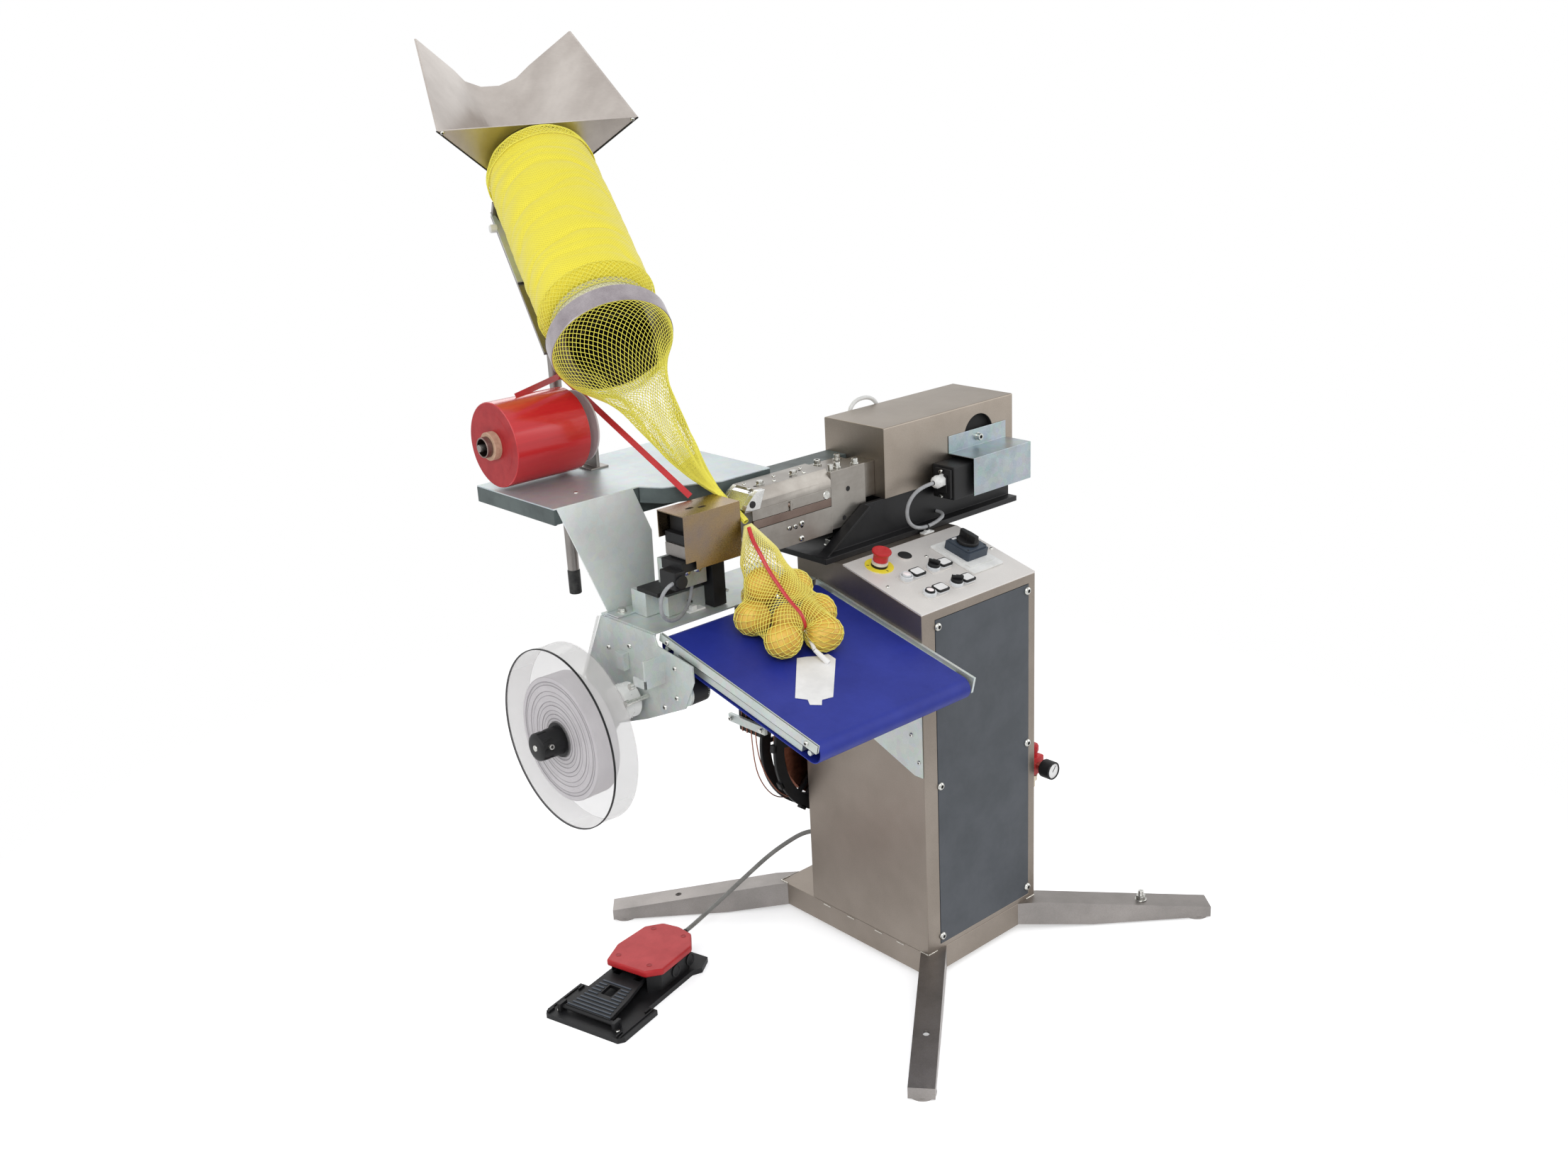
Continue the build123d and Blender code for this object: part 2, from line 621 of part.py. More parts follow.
belt = loop(belt_r, BELT_LEFT, BELT_RIGHT) - loop(DRUM, BELT_LEFT - 1, BELT_RIGHT + 1)
save(BELT * belt, "conveyor_belt")
frame = block(BELT_LEFT - 8, BELT_LEFT - 4, -BELT_LONG, 0, RAIL_LOW, 2)
frame += block(BELT_RIGHT + 8, -COL_HALF, -BELT_LONG, 0, RAIL_LOW, 2)
frame += block(BELT_LEFT - 5, BELT_RIGHT + 9, -BELT_LONG + 50, -50, -5, -BELT_THICK)
for s in PULLEYS:
    frame += rod((BELT_LEFT, s, -belt_r), (BELT_RIGHT, s, -belt_r), DRUM - 0.05)
    frame += rod((BELT_LEFT - 5, s, -belt_r), (BELT_RIGHT + 10, s, -belt_r), 8)
save(BELT * frame, "conveyor_frame")

# Filled net bag, lying on the belt and hanging from the jaws
bag_on_belt = [
    ((-353, 20), 0.3, 62, 56),
    ((-353, 22), 22, 87, 78),
    ((-353, 24), 62, 85, 76),
    ((-355, 38), 112, 62, 56),
]
bag_skins = []
for (bx, by), high, rx, ry in bag_on_belt:
    at = BELT.from_local_coords(Vector(bx, (by - BELT_REAR[0]) / math.cos(b), high))
    bag_skins.append(Plane(origin=at, x_dir=(1, 0, 0), z_dir=BELT.z_dir) * Ellipse(rx, ry))
for at, r in (((-365, 54, 952), 36), ((-373, 65, 985), 18), ((-378, 78, 1006), 8)):
    bag_skins.append(Plane(origin=at, x_dir=(1, 0, 0), z_dir=(0, 0, 1)) * Circle(r))
save(loft(bag_skins), "net_bag")
TAG_THICK = 0.8
tag_line = [
    (-352, -66),
    (-340, -72),
    (-376, -98),
    (-352, -112),
    (-352, -124),
    (-446, -214),
    (-470, -210),
    (-482, -222),
    (-500, -210),
    (-492, -196),
    (-508, -180),
    (-414, -84),
    (-394, -90),
]
tag_points = [(x, (y - BELT_REAR[0]) / math.cos(b)) for x, y in tag_line]
save(BELT * upward(tag_points, SEAT_GAP, SEAT_GAP + TAG_THICK), "bag_tag")

# Galvanised plates on the column and behind the belt
SIDE_PLATE = [(-172, 476), (-172, 640), (60, 640), (60, 560), (-150, 476)]
save(across(SIDE_PLATE, -COL_HALF - SHEET, -COL_HALF), "side_plate")
rear_plate = block(LABEL_PLATE + 2, -COL_HALF, BELT_REAR[0] + 4, PLATE_BACK, PLATE_TOP - SHEET, PLATE_TOP)
flange = [
    (BELT_REAR[0] + 4, PLATE_TOP - 1),
    (PLATE_BACK - 12, PLATE_TOP - 1),
    (PLATE_BACK - 40, 765),
    (BELT_REAR[0] + 20, 765),
]
rear_plate += across(flange, LABEL_PLATE + 2, LABEL_PLATE + 2 + SHEET)
rear_plate += block(-COL_HALF - 4, -COL_HALF, BELT_REAR[0] + 14, COL_BACK - 1, 780, PLATE_TOP - 1)
save(rear_plate, "rear_plate")

# Label unit: side plate, motor, spindle and the feed wheel's pin
label_side = [
    (PLATE_BACK - 3, PLATE_TOP - 3),
    (362, 690),
    (340, 570),
    (300, 556),
    (258, 610),
    (160, 648),
    (38, 704),
    (7, 765),
    (7, 797),
    (110, 812),
    (BELT_REAR[0] + 4, PLATE_TOP - 3),
]
label_frame = across(label_side, LABEL_PLATE - 2, LABEL_PLATE + 2)
label_frame += rod((LABEL_PLATE + 1, 45, 733), (LABEL_PLATE + 45, 45, 733), 26)
label_frame += rod((LABEL_PLATE, *LABEL_AXIS), (LABEL_LEFT - 7, *LABEL_AXIS), 8)
label_frame += rod((LABEL_PLATE, *WHEEL_AXIS), (LABEL_PLATE - 50, *WHEEL_AXIS), STEM_R)
save(label_frame, "label_frame")
label_reel = rod((LABEL_LEFT, *LABEL_AXIS), (LABEL_LEFT + 3, *LABEL_AXIS), LABEL_R)
label_reel += rod((LABEL_RIGHT - 3, *LABEL_AXIS), (LABEL_RIGHT, *LABEL_AXIS), LABEL_R)
label_reel += rod((LABEL_LEFT + 2, *LABEL_AXIS), (LABEL_RIGHT - 2, *LABEL_AXIS), 128)
label_reel += rod((LABEL_LEFT - 55, *LABEL_AXIS), (LABEL_LEFT + 1, *LABEL_AXIS), 28)
label_reel -= rod((LABEL_LEFT - 30, *LABEL_AXIS), (LABEL_RIGHT + 9, *LABEL_AXIS), 8 + PIN_GAP)
save(label_reel, "label_reel")
feed_wheel = rod((LABEL_PLATE - 48, *WHEEL_AXIS), (LABEL_PLATE - 10, *WHEEL_AXIS), WHEEL_R)
feed_wheel -= rod((LABEL_PLATE - 60, *WHEEL_AXIS), (LABEL_PLATE, *WHEEL_AXIS), STEM_R + PIN_GAP)
save(feed_wheel, "feed_wheel")

# Ribbon reel on its stand, and the ribbon
SPINDLE_R = 7.0
ribbon_stand = block(-452, -444, RIBBON_AXIS[0] - 25, RIBBON_AXIS[0] + 25, TABLE_TOP, RIBBON_AXIS[1] + 23)
ribbon_stand += rod((-446, *RIBBON_AXIS), (-706, *RIBBON_AXIS), SPINDLE_R)
ribbon_stand += block(-470, -426, RIBBON_AXIS[0] - 30, RIBBON_AXIS[0] + 30, TABLE_TOP, TABLE_TOP + 4)
save(ribbon_stand, "ribbon_stand")
ribbon_reel = rod((-672, *RIBBON_AXIS), (-500, *RIBBON_AXIS), RIBBON_R)
ribbon_reel += rod((-474, *RIBBON_AXIS), (-470, *RIBBON_AXIS), RIBBON_R - 12)
ribbon_reel += rod((-698, *RIBBON_AXIS), (-469, *RIBBON_AXIS), 20)
ribbon_reel -= rod((-710, *RIBBON_AXIS), (-440, *RIBBON_AXIS), SPINDLE_R + PIN_GAP)
save(ribbon_reel, "ribbon_reel")


def band(start, end, side):
    a = Vector(*start)
    span = Vector(*end) - a
    face = Plane(origin=a, x_dir=side, z_dir=span.normalized()) * Rectangle(RIBBON_WIDE, RIBBON_THICK)
    return extrude(face, amount=span.length)


first = Vector(*RIBBON_PIN) - Vector(*RIBBON_LEAVES)
second = Vector(*RIBBON_ENDS) - Vector(*RIBBON_PIN)
ribbon_tape = band(RIBBON_LEAVES, RIBBON_PIN, first.cross(Vector(0, 0, 1)))
ribbon_tape += band(RIBBON_PIN, RIBBON_ENDS, second.cross(Vector(0, 0, 1)))
save(ribbon_tape, "ribbon_tape")

# Clip wire: spool behind the column and the guide rollers under the plate
AXLE_R = 14.0
wire_guide = block(-300, -262, 208, 232, 560, PLATE_TOP - SHEET)
wire_guide += block(-308, -300, 150, 262, 518, 536)
for y0 in (176, 198, 220):
    wire_guide += rod((-305, y0 + 8, 536), (-262, y0 + 8, 536), 10)
wire_guide += block(-290, -270, 176, 236, 540, 566)
save(wire_guide, "wire_guide")
SPOOL = Plane(origin=(SPOOL_AXIS[0], SPOOL_FRONT, SPOOL_AXIS[1]), x_dir=(1, 0, 0), z_dir=(0, 1, 0))
spool_stand = SPOOL * disc(AXLE_R, COL_BACK - SPOOL_FRONT, SPOOL_WIDE + 12)
spool_stand += SPOOL * disc(34, COL_BACK - SPOOL_FRONT, COL_BACK - SPOOL_FRONT + 12)
save(spool_stand, "spool_stand")
spoke = block(-13, 13, 40, SPOOL_R - 10, 0, 8)
cheek = disc(SPOOL_R, 0, 8) - disc(SPOOL_R - 26, -1, 9)
cheek += disc(52, 0, 8)
for k in range(6):
    cheek += Rot(0, 0, 60 * k + 12) * spoke
spool = cheek + Pos(0, 0, SPOOL_WIDE - 8) * cheek
spool += disc(SPOOL_R - 40, 7, SPOOL_WIDE - 7)
for k in range(12):
    spool += Rot(0, 0, 30 * k + 6) * block(-9, 9, SPOOL_R - 4, SPOOL_R + 5, 0, 12)
spool -= disc(AXLE_R + PIN_GAP, -5, SPOOL_WIDE + 5)
save(SPOOL * spool, "wire_spool")

# Foot pedal: base plate, switch box with its hood, and the treadle on a cross pin
PEDAL = Pos(*PEDAL_AT, 0) * Rot(0, 0, PEDAL_TURN)
BASE_THICK = 12.0
pin = TREADLE_PIN
base_plan = [
    (-172, -96),
    (-172, 90),
    (-158, 98),
    (-52, 98),
    (-52, 76),
    (150, 76),
    (160, 66),
    (160, -82),
    (120, -96),
    (100, -84),
    (-52, -84),
    (-52, -106),
    (-160, -106),
]
hood_plan = [
    (-20, -54),
    (8, -80),
    (110, -80),
    (150, -50),
    (160, -10),
    (156, 30),
    (126, 58),
    (40, 66),
    (-20, 48),
]
HOOD_RIM = 8.0
pedal_base = upward(base_plan, 0, BASE_THICK)
hood_face = outline(hood_plan)
switch_face = offset(hood_face, amount=-HOOD_RIM, kind=Kind.INTERSECTION)
pedal_base += Pos(0, 0, BASE_THICK - 1) * extrude(switch_face, amount=HOOD_LOW - BASE_THICK + 1)
pedal_base -= block(-20, 60, -50, 42, BASE_THICK, HOOD_LOW - 4)
for ey in (-78, 64):
    pedal_base += block(pin[0] - 11, pin[0] + 11, ey, ey + 8, BASE_THICK - 1, pin[2] + 9)
pedal_base -= rod((pin[0], -90, pin[2]), (pin[0], 80, pin[2]), TREADLE_PIN_R + PIN_GAP)
pedal_base += rod((144, 0, 34), (166, 0, 34), 9)
save(PEDAL * pedal_base, "pedal_base")
pedal_hood = Pos(0, 0, HOOD_LOW) * extrude(hood_face, amount=HOOD_TOP - HOOD_LOW)
save(PEDAL * pedal_hood, "pedal_hood")
treadle_plan = [(0, -58), (0, 58), (70, 52), (150, 38), (196, 34), (196, -34), (150, -38), (70, -52)]
treadle = upward(treadle_plan, -1, 7)
treadle -= block(60, 92, -14, 14, -2, 8)
for ey in (-36, 18):
    treadle -= block(128, 148, ey, ey + 18, -2, 8)
treadle += rod((0, -77, 0), (0, 71, 0), TREADLE_PIN_R)
save(PEDAL * Pos(*pin) * Rot(0, -TREADLE_TILT, 0) * treadle, "pedal_treadle")
cable_start = (PEDAL * Pos(166, 0, 34)).position
first_turn = (PEDAL * Pos(212, 0, 34)).position
pedal_route = [
    cable_start,
    first_turn,
    (-362, 328, 44),
    (-304, 326, 66),
    (-246, 308, 106),
    (-186, 276, 158),
    (-116, 226, 205),
    (-116, COL_BACK, 205),
]
save(cord(pedal_route, CABLE_R, 24.0), "pedal_cable")
print("bounds", [round(v, 1) for v in LOW], [round(v, 1) for v in HIGH])
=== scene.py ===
import json
import logging
import math
import random
from dataclasses import dataclass, field
from enum import Enum
from typing import Callable, Iterable, Sequence

import bmesh
import bpy
from mathutils import Matrix, Vector, noise
from mathutils.bvhtree import BVHTree

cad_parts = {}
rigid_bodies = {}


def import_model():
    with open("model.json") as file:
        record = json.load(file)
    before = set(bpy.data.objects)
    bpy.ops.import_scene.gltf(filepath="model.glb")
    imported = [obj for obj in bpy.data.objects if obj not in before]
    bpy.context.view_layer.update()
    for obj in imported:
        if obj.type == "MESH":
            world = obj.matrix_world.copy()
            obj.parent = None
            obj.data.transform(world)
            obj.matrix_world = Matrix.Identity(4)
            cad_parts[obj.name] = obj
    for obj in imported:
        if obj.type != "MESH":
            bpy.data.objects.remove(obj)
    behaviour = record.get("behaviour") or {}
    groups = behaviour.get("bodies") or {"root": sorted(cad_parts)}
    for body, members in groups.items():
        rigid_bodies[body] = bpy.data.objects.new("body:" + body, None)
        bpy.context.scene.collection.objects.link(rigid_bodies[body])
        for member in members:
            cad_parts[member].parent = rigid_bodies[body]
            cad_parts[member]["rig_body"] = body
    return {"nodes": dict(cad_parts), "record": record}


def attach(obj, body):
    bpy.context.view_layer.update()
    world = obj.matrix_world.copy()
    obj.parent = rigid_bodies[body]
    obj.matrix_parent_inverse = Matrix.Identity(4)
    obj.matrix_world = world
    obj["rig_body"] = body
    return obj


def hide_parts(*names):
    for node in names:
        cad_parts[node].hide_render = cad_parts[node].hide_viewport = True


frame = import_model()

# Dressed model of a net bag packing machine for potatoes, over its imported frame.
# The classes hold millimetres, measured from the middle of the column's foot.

LOG = logging.getLogger("packing_machine")
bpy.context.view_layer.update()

MM = 0.001
COLUMN_FOOT = Vector((-161.0, 339.0, 0.0))
TO_FRAME = Matrix.Scale(MM, 4) @ Matrix.Translation(-COLUMN_FOOT)
SLOT_OF = {row["node"]: row["material_slot"] for row in frame["record"]["subparts"]}

Point = Sequence[float]
Colour = tuple[float, float, float, float]


def linear(code: str) -> Colour:
    """Turn an sRGB hex code into a linear colour.

    Args:
        code: Six hex digits after a hash sign.

    Returns:
        Linear red, green, blue and alpha.
    """
    parts = [int(code[i : i + 2], 16) / 255 for i in (1, 3, 5)]
    return (*[c / 12.92 if c <= 0.04045 else ((c + 0.055) / 1.055) ** 2.4 for c in parts], 1.0)


def add(tree: bpy.types.NodeTree, kind: str, inputs: dict | None = None, **settings: object) -> bpy.types.Node:
    """Add a shader node with its settings and links.

    Args:
        tree: The node tree that gets the node.
        kind: The node's type without its ShaderNode prefix.
        inputs: Values or output sockets for the node's inputs, by name or number.
        settings: The node's own settings; stops gives a colour ramp's positions and hex colours.

    Returns:
        The new node.
    """
    made = tree.nodes.new("ShaderNode" + kind)
    stops = settings.pop("stops", None)
    for key, value in settings.items():
        setattr(made, key, value)
    if stops:
        elements = made.color_ramp.elements
        while len(elements) < len(stops):
            elements.new(0.5)
        for element, (place, code) in zip(elements, stops):
            element.position = place
            element.color = linear(code)
    for key, value in (inputs or {}).items():
        if isinstance(value, bpy.types.NodeSocket):
            tree.links.new(value, made.inputs[key])
        else:
            made.inputs[key].default_value = value
    return made


class Along(Enum):
    """Direction that a brushed or drawn surface's lines run in."""

    X = (0.02, 1.0, 1.0)
    Y = (1.0, 0.02, 1.0)
    Z = (1.0, 1.0, 0.02)
    NONE = (1.0, 1.0, 1.0)


@dataclass(frozen=True)
class Finish:
    """A surface finish that makes its material once."""

    name: str
    colour: str
    roughness: float = 0.5

    def material(self) -> bpy.types.Material:
        """Return the finish's material, made on first use."""
        known = bpy.data.materials.get(self.name)
        if known:
            return known
        made = bpy.data.materials.new(self.name)
        made.use_nodes = True
        made.node_tree.nodes.clear()
        made.diffuse_color = linear(self.colour)
        shader = self.shade(made.node_tree)
        add(made.node_tree, "OutputMaterial", {"Surface": shader.outputs[0]})
        return made

    def shade(self, tree: bpy.types.NodeTree) -> bpy.types.Node:
        """Build the surface shader and return its node."""
        return add(tree, "BsdfPrincipled", {"Base Color": linear(self.colour), "Roughness": self.roughness})

    def place(self, tree: bpy.types.NodeTree, stretch: Point = (1, 1, 1)) -> bpy.types.NodeSocket:
        """Return object coordinates in metres, stretched along an axis."""
        where = add(tree, "TexCoord").outputs["Object"]
        return add(tree, "Mapping", {"Vector": where, "Scale": stretch}).outputs[0]


@dataclass(frozen=True)
class BareMetal(Finish):
    """Bare metal sheet or bar: clouds of tone, and a blasted or brushed grain."""

    cloud: str = "#808080"
    cloud_mm: float = 140.0
    grain_mm: float = 2.0
    along: Along = Along.NONE
    swing: float = 0.12
    bump: float = 0.12
    metallic: float = 1.0

    def shade(self, tree: bpy.types.NodeTree) -> bpy.types.Node:
        """Build clouds for the colour and grain for roughness and bump."""
        plain = self.place(tree)
        lines = self.place(tree, self.along.value)
        clouds = add(
            tree, "TexNoise", {"Vector": plain, "Scale": 1000 / self.cloud_mm, "Detail": 4.0, "Roughness": 0.6}
        )
        grain = add(tree, "TexNoise", {"Vector": lines, "Scale": 1000 / self.grain_mm, "Detail": 3.0, "Roughness": 0.6})
        tone = add(tree, "ValToRGB", {"Fac": clouds.outputs[0]}, stops=[(0.34, self.cloud), (0.66, self.colour)])
        strength = 0.22 if self.along is Along.NONE else 0.08
        speck = add(
            tree, "MixRGB", {"Fac": strength, "Color1": tone.outputs[0], "Color2": grain.outputs[0]},
            blend_type="OVERLAY",
        )
        rough = add(
            tree,
            "MapRange",
            {"Value": grain.outputs[0], "From Min": 0.3, "From Max": 0.7, "To Min": self.roughness - self.swing / 2,
             "To Max": self.roughness + self.swing / 2},
        )
        relief = add(tree, "Bump", {"Strength": self.bump, "Distance": 0.0006, "Height": grain.outputs[0]})
        return add(
            tree,
            "BsdfPrincipled",
            {"Base Color": speck.outputs[0], "Metallic": self.metallic, "Roughness": rough.outputs[0],
             "Normal": relief.outputs[0]},
        )


@dataclass(frozen=True)
class ZincSheet(BareMetal):
    """Galvanised sheet: pale zinc with soft spangles a centimetre or two wide."""

    spangle_mm: float = 14.0

    def shade(self, tree: bpy.types.NodeTree) -> bpy.types.Node:
        """Build the metal, then break its colour up into faint spangles."""
        metal = super().shade(tree)
        cells = add(tree, "TexVoronoi", {"Vector": self.place(tree), "Scale": 1000 / self.spangle_mm})
        flakes = add(
            tree,
            "MixRGB",
            {"Fac": 0.1, "Color1": metal.inputs["Base Color"].links[0].from_socket, "Color2": cells.outputs["Color"]},
            blend_type="SOFT_LIGHT",
        )
        tree.links.new(flakes.outputs[0], metal.inputs["Base Color"])
        return metal


@dataclass(frozen=True)
class Moulded(Finish):
    """Moulded or painted surface: one pigment with a fine skin and faint dust."""

    second: str = ""
    grain_mm: float = 2.5
    bump: float = 0.1
    coat: float = 0.0
    sheen: float = 0.0
    patch_mm: float = 60.0
    lines: Along = Along.NONE

    def shade(self, tree: bpy.types.NodeTree) -> bpy.types.Node:
        """Build the pigment, its dusty patches and the skin's bump."""
        where = self.place(tree, self.lines.value)
        patch = add(
            tree, "TexNoise", {"Vector": where, "Scale": 1000 / self.patch_mm, "Detail": 5.0, "Roughness": 0.65}
        )
        skin = add(tree, "TexNoise", {"Vector": where, "Scale": 1000 / self.grain_mm, "Detail": 2.0})
        tone = add(
            tree, "ValToRGB", {"Fac": patch.outputs[0]}, stops=[(0.35, self.second or self.colour), (0.62, self.colour)]
        )
        rough = add(
            tree,
            "MapRange",
            {"Value": patch.outputs[0], "From Min": 0.3, "From Max": 0.7, "To Min": self.roughness + 0.06,
             "To Max": self.roughness - 0.04},
        )
        relief = add(tree, "Bump", {"Strength": self.bump, "Distance": 0.0005, "Height": skin.outputs[0]})
        return add(
            tree,
            "BsdfPrincipled",
            {"Base Color": tone.outputs[0], "Roughness": rough.outputs[0], "Coat Weight": self.coat,
             "Specular IOR Level": 0.32, "Coat Roughness": 0.12, "Sheen Weight": self.sheen,
             "Normal": relief.outputs[0]},
        )


@dataclass(frozen=True)
class Yarn(Finish):
    """Knitted plastic yarn: pale where it is stretched, deep where it gathers."""

    stretched: str = "#e8e7b0"
    twist_mm: float = 1.6

    def shade(self, tree: bpy.types.NodeTree) -> bpy.types.Node:
        """Build a tone that follows the net's length, with small lit and dark lengths of yarn."""
        length = add(tree, "UVMap", uv_map="net")
        run = add(tree, "SeparateXYZ", {"Vector": length.outputs[0]})
        tone = add(tree, "ValToRGB", {"Fac": run.outputs["Y"]}, stops=[(0.1, self.stretched), (0.34, self.colour)])
        fibre = add(tree, "TexNoise", {"Vector": self.place(tree), "Scale": 1000 / (self.twist_mm * 3), "Detail": 3.0})
        mixed = add(
            tree, "MixRGB", {"Fac": 0.35, "Color1": tone.outputs[0], "Color2": fibre.outputs[0]}, blend_type="OVERLAY"
        )
        relief = add(tree, "Bump", {"Strength": 0.3, "Distance": 0.0004, "Height": fibre.outputs[0]})
        return add(
            tree,
            "BsdfPrincipled",
            {"Base Color": mixed.outputs[0], "Roughness": self.roughness, "Sheen Weight": 0.2,
             "Normal": relief.outputs[0]},
        )


@dataclass(frozen=True)
class PackedNet(Finish):
    """Many layers of gathered net: a fine diamond mesh whose gaps are painted darker as shade between the layers, and
    darker in its folds.
    """

    # Colour painted in the gaps between the yarn, as the shade between the layers.
    gap: str = "#d9c400"
    around: float = 260.0
    along: float = 150.0

    def shade(self, tree: bpy.types.NodeTree) -> bpy.types.Node:
        """Build the mesh as two crossing sets of lines in the piece's own UV map."""
        uv = add(tree, "UVMap", uv_map="net").outputs[0]
        wobble = add(tree, "TexNoise", {"Vector": uv, "Scale": 14.0, "Detail": 2.0}).outputs[0]
        heights = []
        for lean in (1, -1):
            bent = add(tree, "Mapping", {"Vector": uv, "Scale": (self.around, lean * self.along, 1.0)})
            lines = add(
                tree, "TexWave", {"Vector": bent.outputs[0], "Scale": 0.32, "Distortion": 1.2, "Detail": 1.0},
                bands_direction="DIAGONAL",
            )
            heights.append(lines.outputs["Fac"])
        mesh = add(tree, "Math", {0: heights[0], 1: heights[1]}, operation="MAXIMUM").outputs[0]
        layers = add(tree, "TexNoise", {"Vector": self.place(tree), "Scale": 22.0, "Detail": 4.0})
        # The gaps between the crossing lines take the painted shade colour.
        tone = add(tree, "ValToRGB", {"Fac": mesh}, stops=[(0.25, self.gap), (0.75, self.colour)])
        cloud = add(
            tree, "MixRGB", {"Fac": 0.1, "Color1": tone.outputs[0], "Color2": layers.outputs[0]},
            blend_type="SOFT_LIGHT",
        )
        height = add(tree, "Math", {0: mesh, 1: wobble}, operation="ADD").outputs[0]
        relief = add(tree, "Bump", {"Strength": 0.35, "Distance": 0.0012, "Height": height})
        return add(
            tree,
            "BsdfPrincipled",
            {"Base Color": cloud.outputs[0], "Roughness": self.roughness, "Sheen Weight": 0.25,
             "Normal": relief.outputs[0]},
        )


@dataclass(frozen=True)
class Skin(Finish):
    """Potato skin: waxy yellow with small brown spots and faint netting."""

    spot: str = "#8d6a26"

    def shade(self, tree: bpy.types.NodeTree) -> bpy.types.Node:
        """Build patches of tone with spots a few millimetres wide."""
        where = self.place(tree)
        patch = add(tree, "TexNoise", {"Vector": where, "Scale": 28.0, "Detail": 5.0})
        spots = add(tree, "TexVoronoi", {"Vector": where, "Scale": 110.0})
        tone = add(tree, "ValToRGB", {"Fac": patch.outputs[0]}, stops=[(0.3, "#d3a544"), (0.65, self.colour)])
        freckle = add(
            tree, "ValToRGB", {"Fac": spots.outputs["Distance"]}, stops=[(0.08, self.spot), (0.2, "#ffffff")]
        )
        mixed = add(
            tree, "MixRGB", {"Fac": 0.5, "Color1": tone.outputs[0], "Color2": freckle.outputs[0]}, blend_type="MULTIPLY"
        )
        relief = add(tree, "Bump", {"Strength": 0.25, "Distance": 0.001, "Height": patch.outputs[0]})
        return add(
            tree,
            "BsdfPrincipled",
            {"Base Color": mixed.outputs[0], "Roughness": self.roughness, "Subsurface Weight": 0.08,
             "Normal": relief.outputs[0]},
        )


@dataclass(frozen=True)
class ClearSheet(Finish):
    """Clear plastic sheet: light comes through it, and its surface keeps a soft gloss."""

    cover: float = 0.3

    def shade(self, tree: bpy.types.NodeTree) -> bpy.types.Node:
        """Build a thin see-through surface with smears in its gloss."""
        smear = add(tree, "TexNoise", {"Vector": self.place(tree), "Scale": 18.0, "Detail": 4.0})
        rough = add(
            tree, "MapRange", {"Value": smear.outputs[0], "To Min": self.roughness, "To Max": self.roughness + 0.2}
        )
        return add(
            tree,
            "BsdfPrincipled",
            {"Base Color": linear(self.colour), "Roughness": rough.outputs[0], "IOR": 1.49, "Alpha": self.cover},
        )


# Stainless cabinet sheet, bead blasted: a dull warm grey that barely mirrors.
CABINET = BareMetal("stainless_blasted", "#948b82", 0.46, cloud="#857c73", cloud_mm=260, grain_mm=2.2, bump=0.1)
# Welded stainless legs and base, blasted after welding: lighter, with a coarser tooth.
LEG_STEEL = BareMetal("stainless_welded", "#989390", 0.42, cloud="#878380", cloud_mm=120, grain_mm=2.6, bump=0.12)
# Stainless housing with a fine ground finish, seen as a warm flat grey.
HOUSING_STEEL = BareMetal("stainless_housing", "#9b9288", 0.4, cloud="#8c8379", cloud_mm=220, grain_mm=2.2, bump=0.06)
# Stainless hopper, brushed along its slope: bright, with soft streaks.
HOPPER_STEEL = BareMetal(
    "stainless_brushed", "#cbc4be", 0.34, cloud="#b4aca6", cloud_mm=160, grain_mm=3.0, along=Along.Y, bump=0.05
)
# Inside of the net tube: the steel is painted dark as painted shade for its bore, away from the light.
SHADED_TUBE_STEEL = BareMetal("stainless_tube_shade", "#4a463f", 0.5, cloud="#35322c", cloud_mm=90, grain_mm=2.5, bump=0.08)
# Spun stainless ring, slightly purple grey.
RING_STEEL = BareMetal("stainless_spun", "#b3acb0", 0.3, cloud="#978f94", cloud_mm=60, grain_mm=2.0, bump=0.05)
# Ground tool steel of the clipper arm: bright, lined along the arm.
ARM_STEEL = BareMetal(
    "steel_ground", "#9b9791", 0.34, cloud="#87827c", cloud_mm=70, grain_mm=3.5, along=Along.X, bump=0.06
)
# Oiled strip in the arm's groove: the same steel gone reddish brown.
STRIP_STEEL = BareMetal("steel_oiled", "#7c6d65", 0.38, cloud="#6e5f58", cloud_mm=50, grain_mm=2.5, along=Along.X)
# Bright cast aluminium nose of the arm.
NOSE_ALLOY = BareMetal("aluminium_bright", "#dcdcda", 0.28, cloud="#c3c3c1", cloud_mm=40, grain_mm=2.0, bump=0.05)
# Galvanised sheet of the table: pale blue grey, near white in the light.
TABLE_ZINC = ZincSheet(
    "zinc_table", "#bfc7ca", 0.42, cloud="#aeb8bc", cloud_mm=240, grain_mm=2.5, bump=0.05, metallic=0.55
)
# Galvanised sheet of the plates, rails and label unit: paler and duller.
PLATE_ZINC = ZincSheet(
    "zinc_plate", "#cdd2cf", 0.46, cloud="#bcc3c0", cloud_mm=150, grain_mm=2.5, bump=0.05, metallic=0.6
)
# Galvanised sheet of the folded guard: a lighter copy of the table's zinc, painted light because the guard is turned to
# the light, nearly white.
LIT_GUARD_ZINC = ZincSheet(
    "zinc_guard_painted_light", "#e4e8e6", 0.55, cloud="#d3d9d6", cloud_mm=150, grain_mm=2.5, bump=0.05, metallic=0.45
)
# Blue passivated zinc of the coil cover: a cold cast.
COVER_ZINC = ZincSheet("zinc_blue", "#a6b0b3", 0.34, cloud="#939fa3", cloud_mm=90, grain_mm=2.5, bump=0.05)
# Bent cover sheet of the head, heat tinted: brown to straw gold.
TINTED_STEEL = BareMetal("steel_tinted", "#9a8153", 0.3, cloud="#82746a", cloud_mm=150, grain_mm=2.2, bump=0.06)
# Zinc plated screws, bolts and nuts: small and bright.
BOLT_STEEL = BareMetal("zinc_bolt", "#d2d2ce", 0.26, cloud="#b5b5b0", cloud_mm=8, grain_mm=1.2, bump=0.05)
